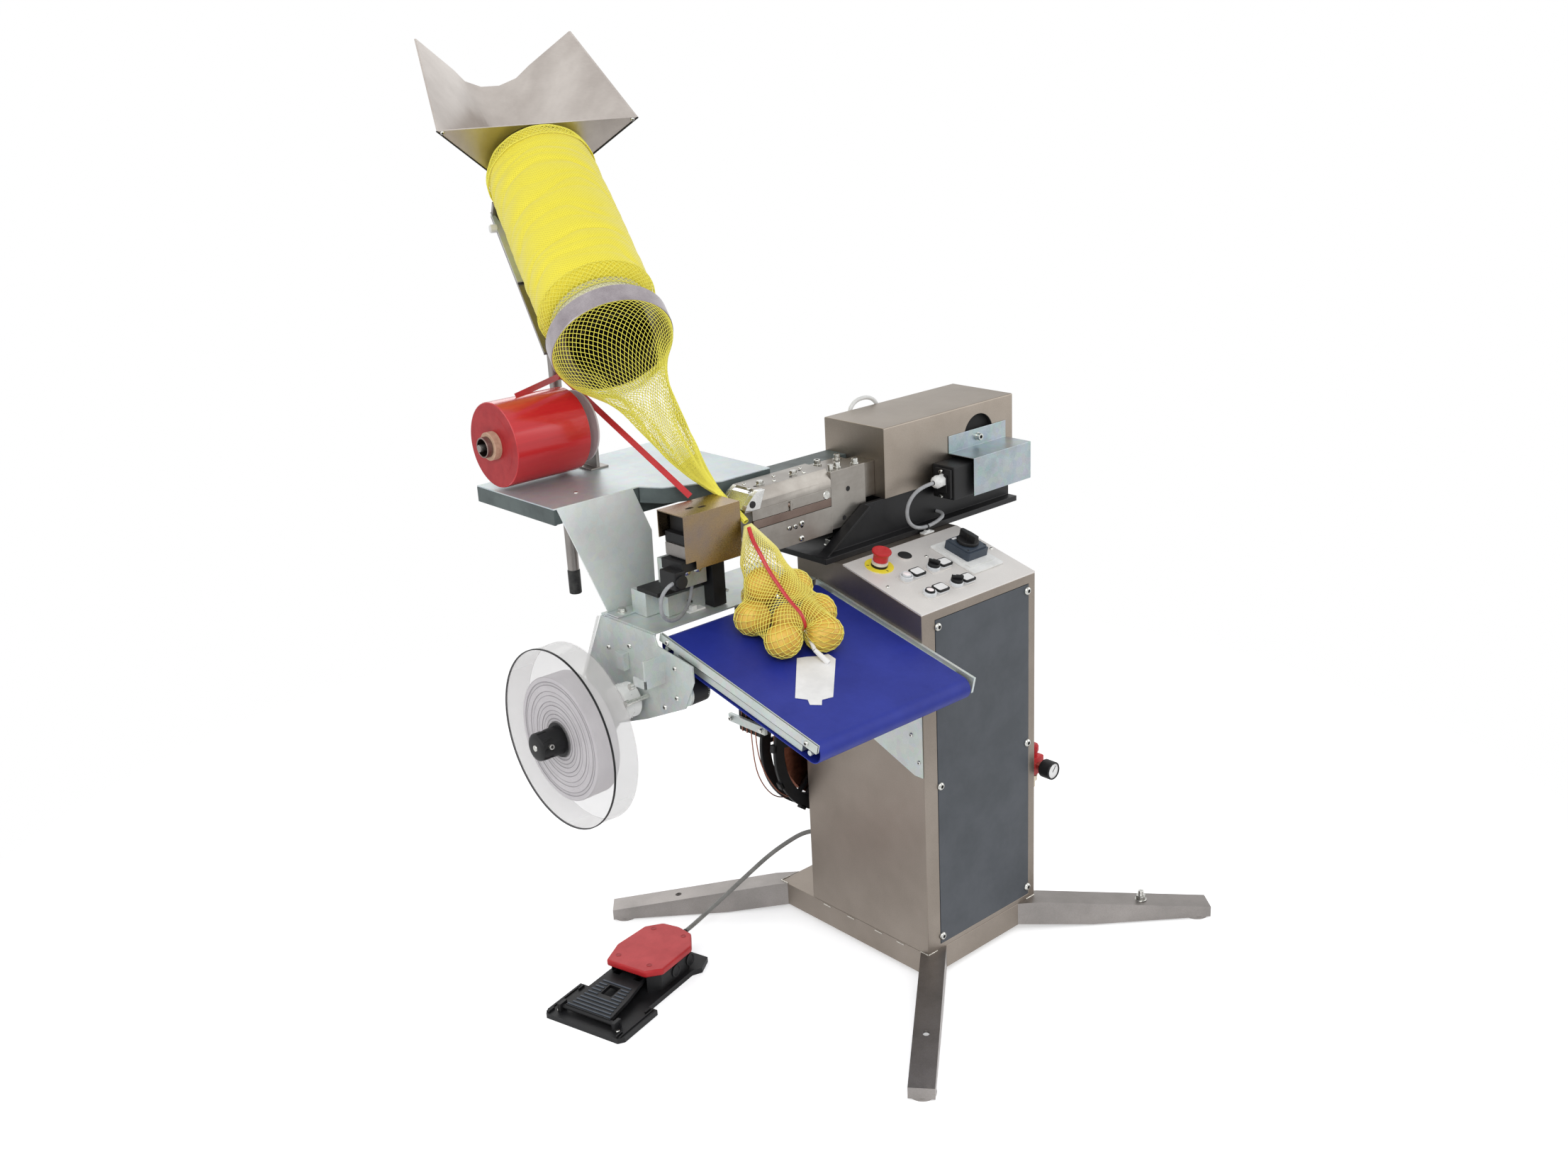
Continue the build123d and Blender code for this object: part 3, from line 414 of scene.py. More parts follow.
# Nickel plated brass air fittings.
NICKEL = BareMetal("nickel_plated", "#c9bfae", 0.2, cloud="#a89a83", cloud_mm=12, grain_mm=1.5, bump=0.03)
# Weld seam: bright ripples left unblasted.
WELD = BareMetal("weld_bead", "#dad7d0", 0.3, cloud="#aba69d", cloud_mm=6, grain_mm=2.0, bump=0.5)
# Powder coat on the front panel: slate grey, silky, faintly scratched.
SLATE_PAINT = Moulded("powder_slate", "#4b4f55", 0.44, second="#44484d", grain_mm=2.0, bump=0.12, patch_mm=90)
# Anodised control plate: very light grey and matt.
PANEL_PAINT = BareMetal(
    "aluminium_anodised", "#dedad6", 0.45, cloud="#d2cecb", cloud_mm=200, grain_mm=2.0, bump=0.04, metallic=0.35
)
# Satin black powder coat of the bracket, dusty on top.
BLACK_PAINT = Moulded("powder_black", "#0f0f11", 0.42, second="#18181a", grain_mm=2.0, bump=0.15, patch_mm=45)
# Dark green grey paint of the table's tray.
TRAY_PAINT = Moulded("paint_grey_green", "#56605f", 0.45, second="#474f4f", bump=0.1, patch_mm=70)
# Black ABS and nylon mouldings: matt with a fine spark texture.
BLACK_NYLON = Moulded("nylon_black", "#111112", 0.52, second="#19191b", grain_mm=1.8, bump=0.25, patch_mm=30)
# Dark blue grey switch housing, polycarbonate.
SWITCH_GREY = Moulded("polycarbonate_slate", "#3f4853", 0.4, second="#353d48", bump=0.12, patch_mm=25)
# White polycarbonate of the switch plate, cable glands and tie mounts.
WHITE_PLASTIC = Moulded("polycarbonate_white", "#e6e6e4", 0.4, second="#d6d6d4", bump=0.06, patch_mm=40)
# Clear button bezels, seen as pale glossy collars.
BEZEL_CLEAR = Moulded("acrylic_pale", "#d9dbdd", 0.12, second="#c9cccf", bump=0.02, coat=0.6)
# Red ABS of the stop button and the pedal's hood.
RED_PLASTIC = Moulded("abs_red", "#c22a2e", 0.38, second="#b32429", grain_mm=2.2, bump=0.08, patch_mm=50)
# Yellow printed disc under the stop button.
YELLOW_DISC = Moulded("acrylic_yellow", "#ecd93a", 0.35, second="#dcc828", bump=0.03)
# Lens of the push buttons: white, with a warm tint.
LENS_WHITE = Moulded("lens_white", "#fbf4f3", 0.18, second="#f4e6e6", bump=0.02, coat=0.5)
# Polyurethane conveyor belt: deep blue, matt, with a fine cloth face.
BELT_BLUE = Moulded("polyurethane_blue", "#202f92", 0.46, second="#1b2883", grain_mm=2.4, bump=0.18, patch_mm=120)
# Grey cable jacket, PVC.
CABLE_GREY = Moulded("pvc_grey", "#a3a4a6", 0.45, second="#8f9092", bump=0.08, patch_mm=20)
# Pedal lead, PVC, a little darker and dusty.
LEAD_GREY = Moulded("pvc_dusty", "#8d8c88", 0.5, second="#787773", bump=0.08, patch_mm=30)
# Black rubber end of the mast, dusty.
RUBBER = Moulded("rubber_black", "#2c2c2d", 0.6, second="#4a4a48", bump=0.3, patch_mm=18)
# Rolled red plastic film: glossy, with fine lines round the roll.
RED_FILM = Moulded("film_red", "#c9262c", 0.2, second="#b21c24", grain_mm=2.6, bump=0.1, coat=0.5, lines=Along.X)
# Wound edge of the film roll: the same red, duller. It also marks the pedal hood's screw recesses, as painted shade.
RED_EDGE_AND_RECESS_SHADE = Moulded("film_edge_and_recess_shade", "#a82226", 0.42, second="#9a1d24", grain_mm=1.6, bump=0.3, patch_mm=26)
# Red printed tape, with its print left off.
RED_TAPE = Moulded("tape_red", "#cc2f33", 0.28, second="#b9242b", bump=0.08, coat=0.3)
# Card tube of the film roll.
CARD = Moulded("card_brown", "#c7a68e", 0.7, second="#b08f78", grain_mm=1.5, bump=0.3, patch_mm=14)
# Pale pink grey disc behind the roll, painted board.
BOARD = Moulded("board_pale", "#cfc6c8", 0.5, second="#c2b8bb", bump=0.05)
# White labels on their paper, wound on edge: pale with grey rings.
LABEL_EDGE = Moulded("paper_edge", "#dad6d9", 0.5, second="#cfcace", grain_mm=2.0, bump=0.05, patch_mm=90)
# Shadow between the turns of labels, seen as thin rings.
LABEL_GAP = Moulded("paper_shadow", "#87828a", 0.55, second="#989397", bump=0.05)
# White paper tag and labels.
PAPER = Moulded("paper_white", "#f0efee", 0.5, second="#e2e1e0", bump=0.05)
# Acrylic discs and rim that hold the label roll.
CLEAR_DISC = ClearSheet("acrylic_clear", "#d8d4d4", 0.16, cover=0.16)
CLEAR_RIM = ClearSheet("acrylic_rim", "#e4e2e0", 0.12, cover=0.34)
# Spindle tube of the film roll, gone bronze.
TUBE_BRONZE = BareMetal("steel_bronzed", "#8f7d77", 0.36, cloud="#786761", cloud_mm=26, grain_mm=1.8, bump=0.05)
# Copper brown clip wire, lacquered.
WIRE_BROWN = BareMetal("wire_lacquered", "#9c6653", 0.34, cloud="#80503f", cloud_mm=12, grain_mm=1.4, bump=0.3)
# Deep gaps, bores and key sockets, where no light comes back.
DARK_GAP = Finish("shadow_gap", "#0b0b0c", 0.8)
# Yellow knitted polyethylene net.
NET_YARN = Yarn("net_yellow", "#efe052", 0.45, stretched="#e9e6ad")
# The same net drawn into a strand: yellow, with short dark slits that are painted shade between the strands.
STRAND_PACK_SLIT_SHADE = PackedNet("net_strand_slit_shade", "#efe24a", 0.6, gap="#a89b26", around=70, along=44)
# The bag's net, brighter where it is stretched over the potatoes.
BAG_YARN = Yarn("net_bag_yellow", "#f7e866", 0.45, stretched="#f7ef9a")
# Single stretched layer round the tube's neck: nearly white.
PALE_YARN = Yarn("net_pale", "#efeecb", 0.5, stretched="#efeedd")
# Gathered net on the tube, many layers deep, and the paler layers on its neck; both have painted shade in the gaps of
# their mesh.
NET_PACK = PackedNet("net_gathered", "#f1e440", 0.6, gap="#d9c81c")
PALE_PACK = PackedNet("net_gathered_pale", "#e6e4c4", 0.6, gap="#bdb998", around=150, along=14)
# Waxy skin of a washed yellow potato.
POTATO = Skin("potato_skin", "#ecc65a", 0.5)


def axes(origin: Point, across: Point, outward: Point) -> Matrix:
    """Make a local frame.

    Args:
        origin: Where the frame sits, in millimetres.
        across: Direction of its X axis.
        outward: Direction of its Z axis.

    Returns:
        The matrix from the local frame to the machine's frame.
    """
    z = Vector(outward).normalized()
    x = Vector(across)
    x = (x - z * x.dot(z)).normalized()
    made = Matrix((x, z.cross(x), z)).transposed().to_4x4()
    made.translation = Vector(origin)
    return made


# Slopes of the control panel (rise over run) and of the conveyor, and the turn of the foot switch.
SLOPE = math.atan2(881 - 824, 39 + 175)
TILT = math.radians(13.5)
PEDAL_TURN = math.radians(15)
TREADLE_TURN = math.radians(-4)
PANEL = axes((0, -175, 824), (1, 0, 0), (0, -math.sin(SLOPE), math.cos(SLOPE)))
TUBE = axes((-440, 383, 1329), (0.95, -0.3125, 0), (0.25, 0.76, 0.6))
BELT = axes((0, 116, 832), (1, 0, 0), (0, -math.sin(TILT), math.cos(TILT)))
PEDAL = Matrix.Translation((-612, 268, 0)) @ Matrix.Rotation(PEDAL_TURN, 4, "Z")
TREADLE = PEDAL @ Matrix.Translation((-145, 0, 22)) @ Matrix.Rotation(TREADLE_TURN, 4, "Y")
SPOOL = axes((-63, 194, 430), (1, 0, 0), (0, 1, 0))
HERE = Matrix.Identity(4)

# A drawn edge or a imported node's edge stays sharp past these angles; a packed one is rounded past the third.
DRAWN_CREASE = math.radians(38)
PACKED_CREASE = math.radians(33)
ROUNDED_CREASE = math.radians(40)
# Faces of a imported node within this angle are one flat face.
FLAT = math.radians(1.0)
# Vertices closer than this are one, in millimetres as drawn and in metres as packed.
DRAWN_WELD = 0.001
NET_WELD = 0.01
PACKED_WELD = 1e-5


def stand(name: str, data: bpy.types.ID) -> bpy.types.Object:
    """Put a mesh, curve, camera or lamp in the scene under a name."""
    made = bpy.data.objects.new(name, data)
    bpy.context.scene.collection.objects.link(made)
    return made


def bake(bm: bmesh.types.BMesh, name: str, finishes: Sequence[Finish], smooth: bool = False) -> bpy.types.Mesh:
    """Write a drawing to a mesh in metres, and free the drawing.

    Args:
        bm: The drawing, in millimetres in the machine's frame.
        name: The mesh's name.
        finishes: Its finishes, in the order of its material numbers.
        smooth: Whether every face is shaded smooth.

    Returns:
        The mesh.
    """
    bm.transform(TO_FRAME)
    made = bpy.data.meshes.new(name)
    bm.to_mesh(made)
    bm.free()
    for face in made.polygons if smooth else ():
        face.use_smooth = True
    for finish in finishes:
        made.materials.append(finish.material())
    return made


def facing(origin: Point, outward: Point) -> Matrix:
    """Return a local frame at a point whose Z axis looks outward."""
    across = (1, 0, 0) if abs(Vector(outward).normalized().x) < 0.9 else (0, 1, 0)
    return axes(origin, across, outward)


class Shape:
    """Mesh of one piece, drawn in millimetres in the machine's frame."""

    def __init__(self, finish: Finish) -> None:
        """Start an empty mesh with one finish."""
        self.bm = bmesh.new()
        self.done = self.bm.faces.layers.int.new("done")
        self.finishes = [finish]
        self.ink = 0

    def use(self, finish: Finish) -> "Shape":
        """Choose the finish of what is drawn next."""
        if finish not in self.finishes:
            self.finishes.append(finish)
        self.ink = self.finishes.index(finish)
        return self

    def settle(self, smooth: bool = True) -> "Shape":
        """Give the faces drawn since the last call their finish."""
        for face in self.bm.faces:
            if not face[self.done]:
                face[self.done] = 1
                face.material_index = self.ink
                face.smooth = smooth
        return self

    def soften(self, edges: Iterable[bmesh.types.BMEdge], width: float, steps: int = 2) -> None:
        """Round the given edges by a width in millimetres."""
        bmesh.ops.bevel(
            self.bm, geom=list(edges), offset=width, offset_type="OFFSET", segments=steps, profile=0.5,
            affect="EDGES", material=-1, clamp_overlap=True,
        )

    def fresh(self) -> set[bmesh.types.BMEdge]:
        """Return the edges of the faces drawn since the last settle."""
        return {edge for face in self.bm.faces if not face[self.done] for edge in face.edges}

    def block(self, low: Point, high: Point, at: Matrix = HERE, round_off: float = 0.6) -> "Shape":
        """Draw a box between two corners of a local frame."""
        low, high = Vector(low), Vector(high)
        size = high - low
        put = at @ Matrix.Translation((low + high) / 2) @ Matrix.Diagonal((*size, 1))
        bmesh.ops.create_cube(self.bm, size=1.0, matrix=put)
        if round_off:
            self.soften(self.fresh(), min(round_off, min(size) * 0.4))
        return self.settle()

    def rod(self, start: Point, end: Point, radius: float, tip: float | None = None, at: Matrix = HERE,
            sides: int = 32, round_off: float = 0.5) -> "Shape":
        """Draw a round bar, or a cone where the tip's radius differs.

        Args:
            start: Middle of its first end.
            end: Middle of its second end.
            radius: Radius at the start.
            tip: Radius at the end, if it differs.
            at: The local frame.
            sides: Number of sides.
            round_off: Rounding of the end edges.

        Returns:
            The shape itself.
        """
        a, b = Vector(start), Vector(end)
        put = at @ facing((a + b) / 2, b - a)
        bmesh.ops.create_cone(
            self.bm, cap_ends=True, segments=sides, radius1=radius, radius2=radius if tip is None else tip,
            depth=(b - a).length, matrix=put,
        )
        if round_off:
            ends = {e for e in self.fresh() if any(len(f.verts) > 4 for f in e.link_faces)}
            self.soften(ends, min(round_off, (b - a).length * 0.4))
        return self.settle()

    def lathe(self, profile: Sequence[Point], at: Matrix = HERE, sides: int = 48) -> "Shape":
        """Spin a profile of (radius, height) points about a local frame's Z axis."""
        verts = [self.bm.verts.new(at @ Vector((r, 0, h))) for r, h in profile]
        edges = [self.bm.edges.new(pair) for pair in zip(verts, verts[1:])]
        axis = (at.to_3x3() @ Vector((0, 0, 1))).normalized()
        bmesh.ops.spin(
            self.bm, geom=verts + edges, cent=at.translation, axis=axis, angle=math.tau, steps=sides, use_merge=True,
            dvec=(0, 0, 0),
        )
        new = [f for f in self.bm.faces if not f[self.done]]
        touched = list({v for f in new for v in f.verts})
        bmesh.ops.remove_doubles(self.bm, verts=touched, dist=DRAWN_WELD)
        new = [f for f in self.bm.faces if not f[self.done]]
        bmesh.ops.recalc_face_normals(self.bm, faces=new)
        return self.settle()

    def plate(self, outline: Sequence[Point], low: float, high: float, at: Matrix = HERE,
              round_off: float = 0.5) -> "Shape":
        """Draw a flat outline of (x, y) points with a thickness along a local frame's Z axis."""
        verts = [self.bm.verts.new(at @ Vector((x, y, low))) for x, y in outline]
        face = self.bm.faces.new(verts)
        grown = bmesh.ops.extrude_face_region(self.bm, geom=[face])
        lift = at.to_3x3() @ Vector((0, 0, high - low))
        moved = [item for item in grown["geom"] if isinstance(item, bmesh.types.BMVert)]
        bmesh.ops.translate(self.bm, verts=moved, vec=lift)
        new = [f for f in self.bm.faces if not f[self.done]]
        bmesh.ops.recalc_face_normals(self.bm, faces=new)
        if round_off:
            self.soften(self.fresh(), min(round_off, abs(high - low) * 0.4))
        return self.settle()

    def bolt(self, at: Matrix, size: float, washer: bool = True) -> "Shape":
        """Draw a hexagon head bolt, standing up from a local frame."""
        lift = 0.0
        if washer:
            lift = size * 0.18
            self.lathe([(0, lift), (size * 1.05, lift), (size * 1.15, lift * 0.5), (size * 1.15, 0)], at, 32)
        top = size * 0.68 + lift
        self.rod((0, 0, lift), (0, 0, top), size * 0.95, at=at, sides=6, round_off=size * 0.06)
        self.lathe([(0, top + 0.2), (size * 0.7, top + 0.2), (size * 0.78, top - 0.3)], at, 24)
        return self

    def screw(self, at: Matrix, size: float, dome: bool = False) -> "Shape":
        """Draw a socket head or button head screw, standing up from a local frame."""
        wide, high = (size * 0.92, size * 0.52) if dome else (size * 0.78, size * 0.95)
        key = size * 0.4
        rim = [(wide * 0.62, high), (wide * 0.88, high * 0.7), (wide, high * 0.25), (wide, 0)]
        if not dome:
            rim = [(wide * 0.92, high), (wide, high * 0.9), (wide, 0)]
        self.lathe([(0, high * 0.35), (key, high * 0.35), (key, high), *rim], at, 24)
        ink = self.ink
        # A black disc on the socket's floor paints the shade inside it.
        self.use(DARK_GAP).lathe([(0, high * 0.4), (key * 0.98, high * 0.4)], at, 12)
        self.ink = ink
        return self

    def mesh(self, name: str) -> bpy.types.Mesh:
        """Bake the shape into a mesh in metres."""
        for edge in self.bm.edges:
            if edge.is_manifold and edge.calc_face_angle(0.0) > DRAWN_CREASE:
                edge.smooth = False
        return bake(self.bm, name, self.finishes)

    def build(self, name: str, slot: str, body: str = "machine", stands_for: Sequence[str] = (),
              even: bool = True) -> bpy.types.Object:
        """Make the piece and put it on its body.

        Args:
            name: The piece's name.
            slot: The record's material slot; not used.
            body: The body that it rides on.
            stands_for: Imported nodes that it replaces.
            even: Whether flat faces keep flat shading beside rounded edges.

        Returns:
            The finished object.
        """
        piece = stand(name, self.mesh(name))
        if even:
            weigh = piece.modifiers.new("even", "WEIGHTED_NORMAL")
            weigh.keep_sharp = True
        return report(piece, body, stands_for)


def report(piece: bpy.types.Object, body: str, stands_for: Sequence[str] = ()) -> bpy.types.Object:
    """Put a piece on its body and what it replaces, and log it."""
    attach(piece, body)
    if stands_for:
        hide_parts(*stands_for)
    LOG.info("%s on %s", piece.name, body)
    return piece


def dress(node: str, finish: Finish, width: float = 1.0, steps: int = 2) -> bpy.types.Object:
    """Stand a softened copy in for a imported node.

    Args:
        node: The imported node.
        finish: Its finish.
        width: How far its edges are rounded, in millimetres.
        steps: Segments of the rounding.

    Returns:
        The copy.
    """
    source = frame["nodes"][node]
    bm = bmesh.new()
    bm.from_mesh(source.data)
    bmesh.ops.remove_doubles(bm, verts=bm.verts, dist=PACKED_WELD)
    bmesh.ops.dissolve_limit(bm, angle_limit=FLAT, verts=bm.verts, edges=bm.edges)
    for face in bm.faces:
        face.smooth = True
    for edge in bm.edges:
        if edge.is_manifold and edge.calc_face_angle(0.0) > PACKED_CREASE:
            edge.smooth = False
    mesh = bpy.data.meshes.new(node + "_dressed")
    bm.to_mesh(mesh)
    bm.free()
    mesh.materials.append(finish.material())
    piece = stand(node + "_dressed", mesh)
    if width:
        soft = piece.modifiers.new("soft_edges", "BEVEL")
        soft.width = width * MM
        soft.segments = steps
        soft.limit_method = "ANGLE"
        soft.angle_limit = ROUNDED_CREASE
        soft.harden_normals = True
        soft.use_clamp_overlap = True
    return report(piece, source["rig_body"], (node,))


@dataclass
class Studio:
    """Camera of the photograph, plain soft lamps and a pale floor."""

    camera_at: Point = (-2258.1, -2166.7, 1896.0)
    turn: float = -41.17
    pitch: float = 19.23
    roll: float = -2.96
    lens: float = 36.64
    sensor: float = 36.0
    floor_half: float = 9.0
    floor_shown: float = 0.9
    floor_gone: float = 2.0
    lamps: Sequence[tuple[str, Point, Point, float, float]] = (
        ("key", (-1.9, -2.6, 3.3), (0, 0, 0.9), 2.2, 56),
        ("fill", (2.6, -2.2, 1.9), (0, -0.2, 0.8), 2.6, 30),
        ("left", (-3.4, 0.6, 2.2), (0, 0, 0.9), 2.4, 24),
        ("rear", (0.9, 2.8, 3.0), (0, 0.2, 1.0), 2.4, 26),
    )

    def camera(self) -> None:
        """Place the camera by its measured turn, pitch and roll."""
        a, e, r = map(math.radians, (self.turn, self.pitch, self.roll))
        ahead = Vector((-math.sin(a) * math.cos(e), math.cos(a) * math.cos(e), -math.sin(e)))
        right = Vector((math.cos(a), math.sin(a), 0))
        up = right.cross(ahead)
        side = right * math.cos(r) + up * math.sin(r)
        top = up * math.cos(r) - right * math.sin(r)
        lens = bpy.data.cameras.new("photo_lens")
        lens.lens = self.lens
        lens.sensor_fit = "HORIZONTAL"
        lens.sensor_width = self.sensor
        turned = Matrix((side, top, -ahead)).transposed().to_4x4()
        turned.translation = TO_FRAME @ Vector(self.camera_at)
        seat = stand("photo_camera", lens)
        seat.matrix_world = turned
        bpy.context.scene.camera = seat

    def lamp(self, name: str, at: Point, aim: Point, size: float, watts: float) -> None:
        """Hang one square soft lamp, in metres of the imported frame."""
        glow = bpy.data.lights.new(name, "AREA")
        glow.shape = "SQUARE"
        glow.size = size
        glow.energy = watts
        hung = stand(name, glow)
        hung.location = at
        hung.rotation_euler = (Vector(aim) - Vector(at)).to_track_quat("-Z", "Y").to_euler()

    def seen(self, tree: bpy.types.NodeTree) -> bpy.types.NodeSocket:
        """Return 1 where a camera, glossy or transmission ray arrives."""
        ray = add(tree, "LightPath")
        kinds = [ray.outputs[name] for name in ("Is Camera Ray", "Is Transmission Ray", "Is Glossy Ray")]
        through = add(tree, "Math", {0: kinds[0], 1: kinds[1]}, operation="MAXIMUM")
        return add(tree, "Math", {0: through.outputs[0], 1: kinds[2]}, operation="MAXIMUM").outputs[0]

    def room(self) -> None:
        """Make the floor and the white surroundings."""
        scene = bpy.context.scene
        scene.view_settings.view_transform = "Standard"
        world = bpy.data.worlds.new("studio")
        scene.world = world
        world.use_nodes = True
        tree = world.node_tree
        tree.nodes.clear()
        dim = add(tree, "Background", {"Color": linear("#f4f6f8"), "Strength": 0.62})
        white = add(tree, "Background", {"Color": linear("#ffffff"), "Strength": 1.0})
        both = add(tree, "MixShader", {0: self.seen(tree), 1: dim.outputs[0], 2: white.outputs[0]})
        add(tree, "OutputWorld", {"Surface": both.outputs[0]})
        bm = bmesh.new()
        bmesh.ops.create_grid(bm, x_segments=1, y_segments=1, size=self.floor_half)
        mesh = bpy.data.meshes.new("floor")
        bm.to_mesh(mesh)
        bm.free()
        paint = bpy.data.materials.new("floor_white")
        paint.use_nodes = True
        tree = paint.node_tree
        tree.nodes.clear()
        matt = add(tree, "BsdfDiffuse", {"Color": linear("#f2f2f2")})
        glow = add(tree, "Emission", {"Color": linear("#ffffff"), "Strength": 0.5})
        lit = add(tree, "AddShader", {0: matt.outputs[0], 1: glow.outputs[0]})
        spot = add(tree, "TexCoord")
        away = add(tree, "VectorMath", {0: spot.outputs["Object"]}, operation="LENGTH")
        fade = add(tree, "MapRange", {0: away.outputs["Value"], 1: self.floor_shown, 2: self.floor_gone})
        clean = add(tree, "Emission", {"Color": linear("#ffffff"), "Strength": 1.0})
        ground = add(tree, "MixShader", {0: fade.outputs[0], 1: lit.outputs[0], 2: clean.outputs[0]})
        both = add(tree, "MixShader", {0: self.seen(tree), 1: matt.outputs[0], 2: ground.outputs[0]})
        add(tree, "OutputMaterial", {"Surface": both.outputs[0]})
        mesh.materials.append(paint)
        floor = stand("floor", mesh)

    def build(self) -> None:
        """Set up the camera, the room and four lamps."""
        self.camera()
        self.room()
        for name, at, aim, size, watts in self.lamps:
            self.lamp(name, at, aim, size, watts)


@dataclass
class Base:
    """Folded base with four splayed channel legs."""

    half: float = 170.0
    front: float = -175.0
    back: float = 283.0
    top: float = 69.0
    inset: float = 14.0
    angle: float = 39.5
    width: float = 52.0
    stud_reach: float = 247.0
    bead: float = 1.9
    bead_step: float = 4.0
    bead_share: float = 0.92
    stitches: Sequence[float] = (130, 56, -29, -94)
    stitch_half: float = 11.0
    leg_rounding: float = 2.0

    def seams(self) -> None:
        """Lay the welds: round the leg heads, and the short ones along the column's foot."""
        seam = Shape(WELD)
        lean = math.radians(self.angle)
        along_side = self.width / 2 / math.cos(lean) - self.inset * math.tan(lean)
        along_front = self.width / 2 / math.sin(lean) - self.inset
        for sx in (-1, 1):
            for y, sy in ((self.front, 1), (self.back, -1)):
                corner = Vector((sx * (self.half - 0.5), y + sy * 0.5, self.top))
                for run in (Vector((0, sy * along_side, 0)), Vector((-sx * along_front, 0, 0))):
                    count = max(int(run.length / self.bead_step), 2)
                    for i in range(count):
                        a = corner + run * (i / count)
                        seam.rod(a, a + run / count * self.bead_share, self.bead, sides=10)
        x, z = -self.half - 0.2, self.top - 4
        for y in self.stitches:
            seam.rod((x, y - self.stitch_half, z), (x, y + self.stitch_half, z), 1.5, sides=10)
        seam.build("weld_seams", "stainless")

    def stud(self) -> None:
        """Add the levelling stud's nut and thread on the front right leg."""
        lean = math.radians(self.angle)
        x = self.half - self.inset + self.stud_reach * math.cos(lean)
        y = self.front - self.stud_reach * math.sin(lean)
        at = Matrix.Translation((x, y, 45.5))
        stud = Shape(BOLT_STEEL)
        stud.lathe([(0, 1.6), (12.5, 1.6), (13, 1.0), (13, 0)], at, 32)
        stud.rod((0, 0, 1.6), (0, 0, 10.5), 11, at=at, sides=6, round_off=0.8)
        turns = [(6.3 if i % 2 else 5.7, 10 + i * 0.75) for i in range(15)]
        stud.lathe([*turns, (5.0, 21.2), (0, 21.2)], at, 24)
        stud.build("leg_stud", "stainless")

    def build(self) -> None:
        """Dress the base and its legs."""
        dress("base_frame", CABINET, 1.6)
        for leg in ("leg_front_left", "leg_front_right", "leg_rear_left", "leg_rear_right"):
            dress(leg, LEG_STEEL, self.leg_rounding)
        self.seams()
        self.stud()


@dataclass
class Column:
    """Blasted stainless cabinet with a slate front panel."""

    front: float = -175.0
    screws: Sequence[Point] = ((-125, 787), (-125, 443), (-127, 98), (145, 788), (145, 446), (145, 100))
    side_screws: Sequence[Point] = ((-143, 563), (-163, 508), (0, 600))

    def build(self) -> None:
        """Dress the cabinet and fit its screws."""
        dress("column_shell", CABINET, 1.8)
        dress("front_panel", SLATE_PAINT, 0.8)
        dress("side_plate", PLATE_ZINC, 0.6)
        heads = Shape(BOLT_STEEL)
        for x, z in self.screws:
            heads.screw(facing((x, self.front - 0.6, z), (0, -1, 0)), 9.5, dome=True)
        for y, z in self.side_screws:
            heads.screw(facing((-173.2, y, z), (-1, 0, 0)), 5, dome=True)
        heads.build("column_screws", "stainless")


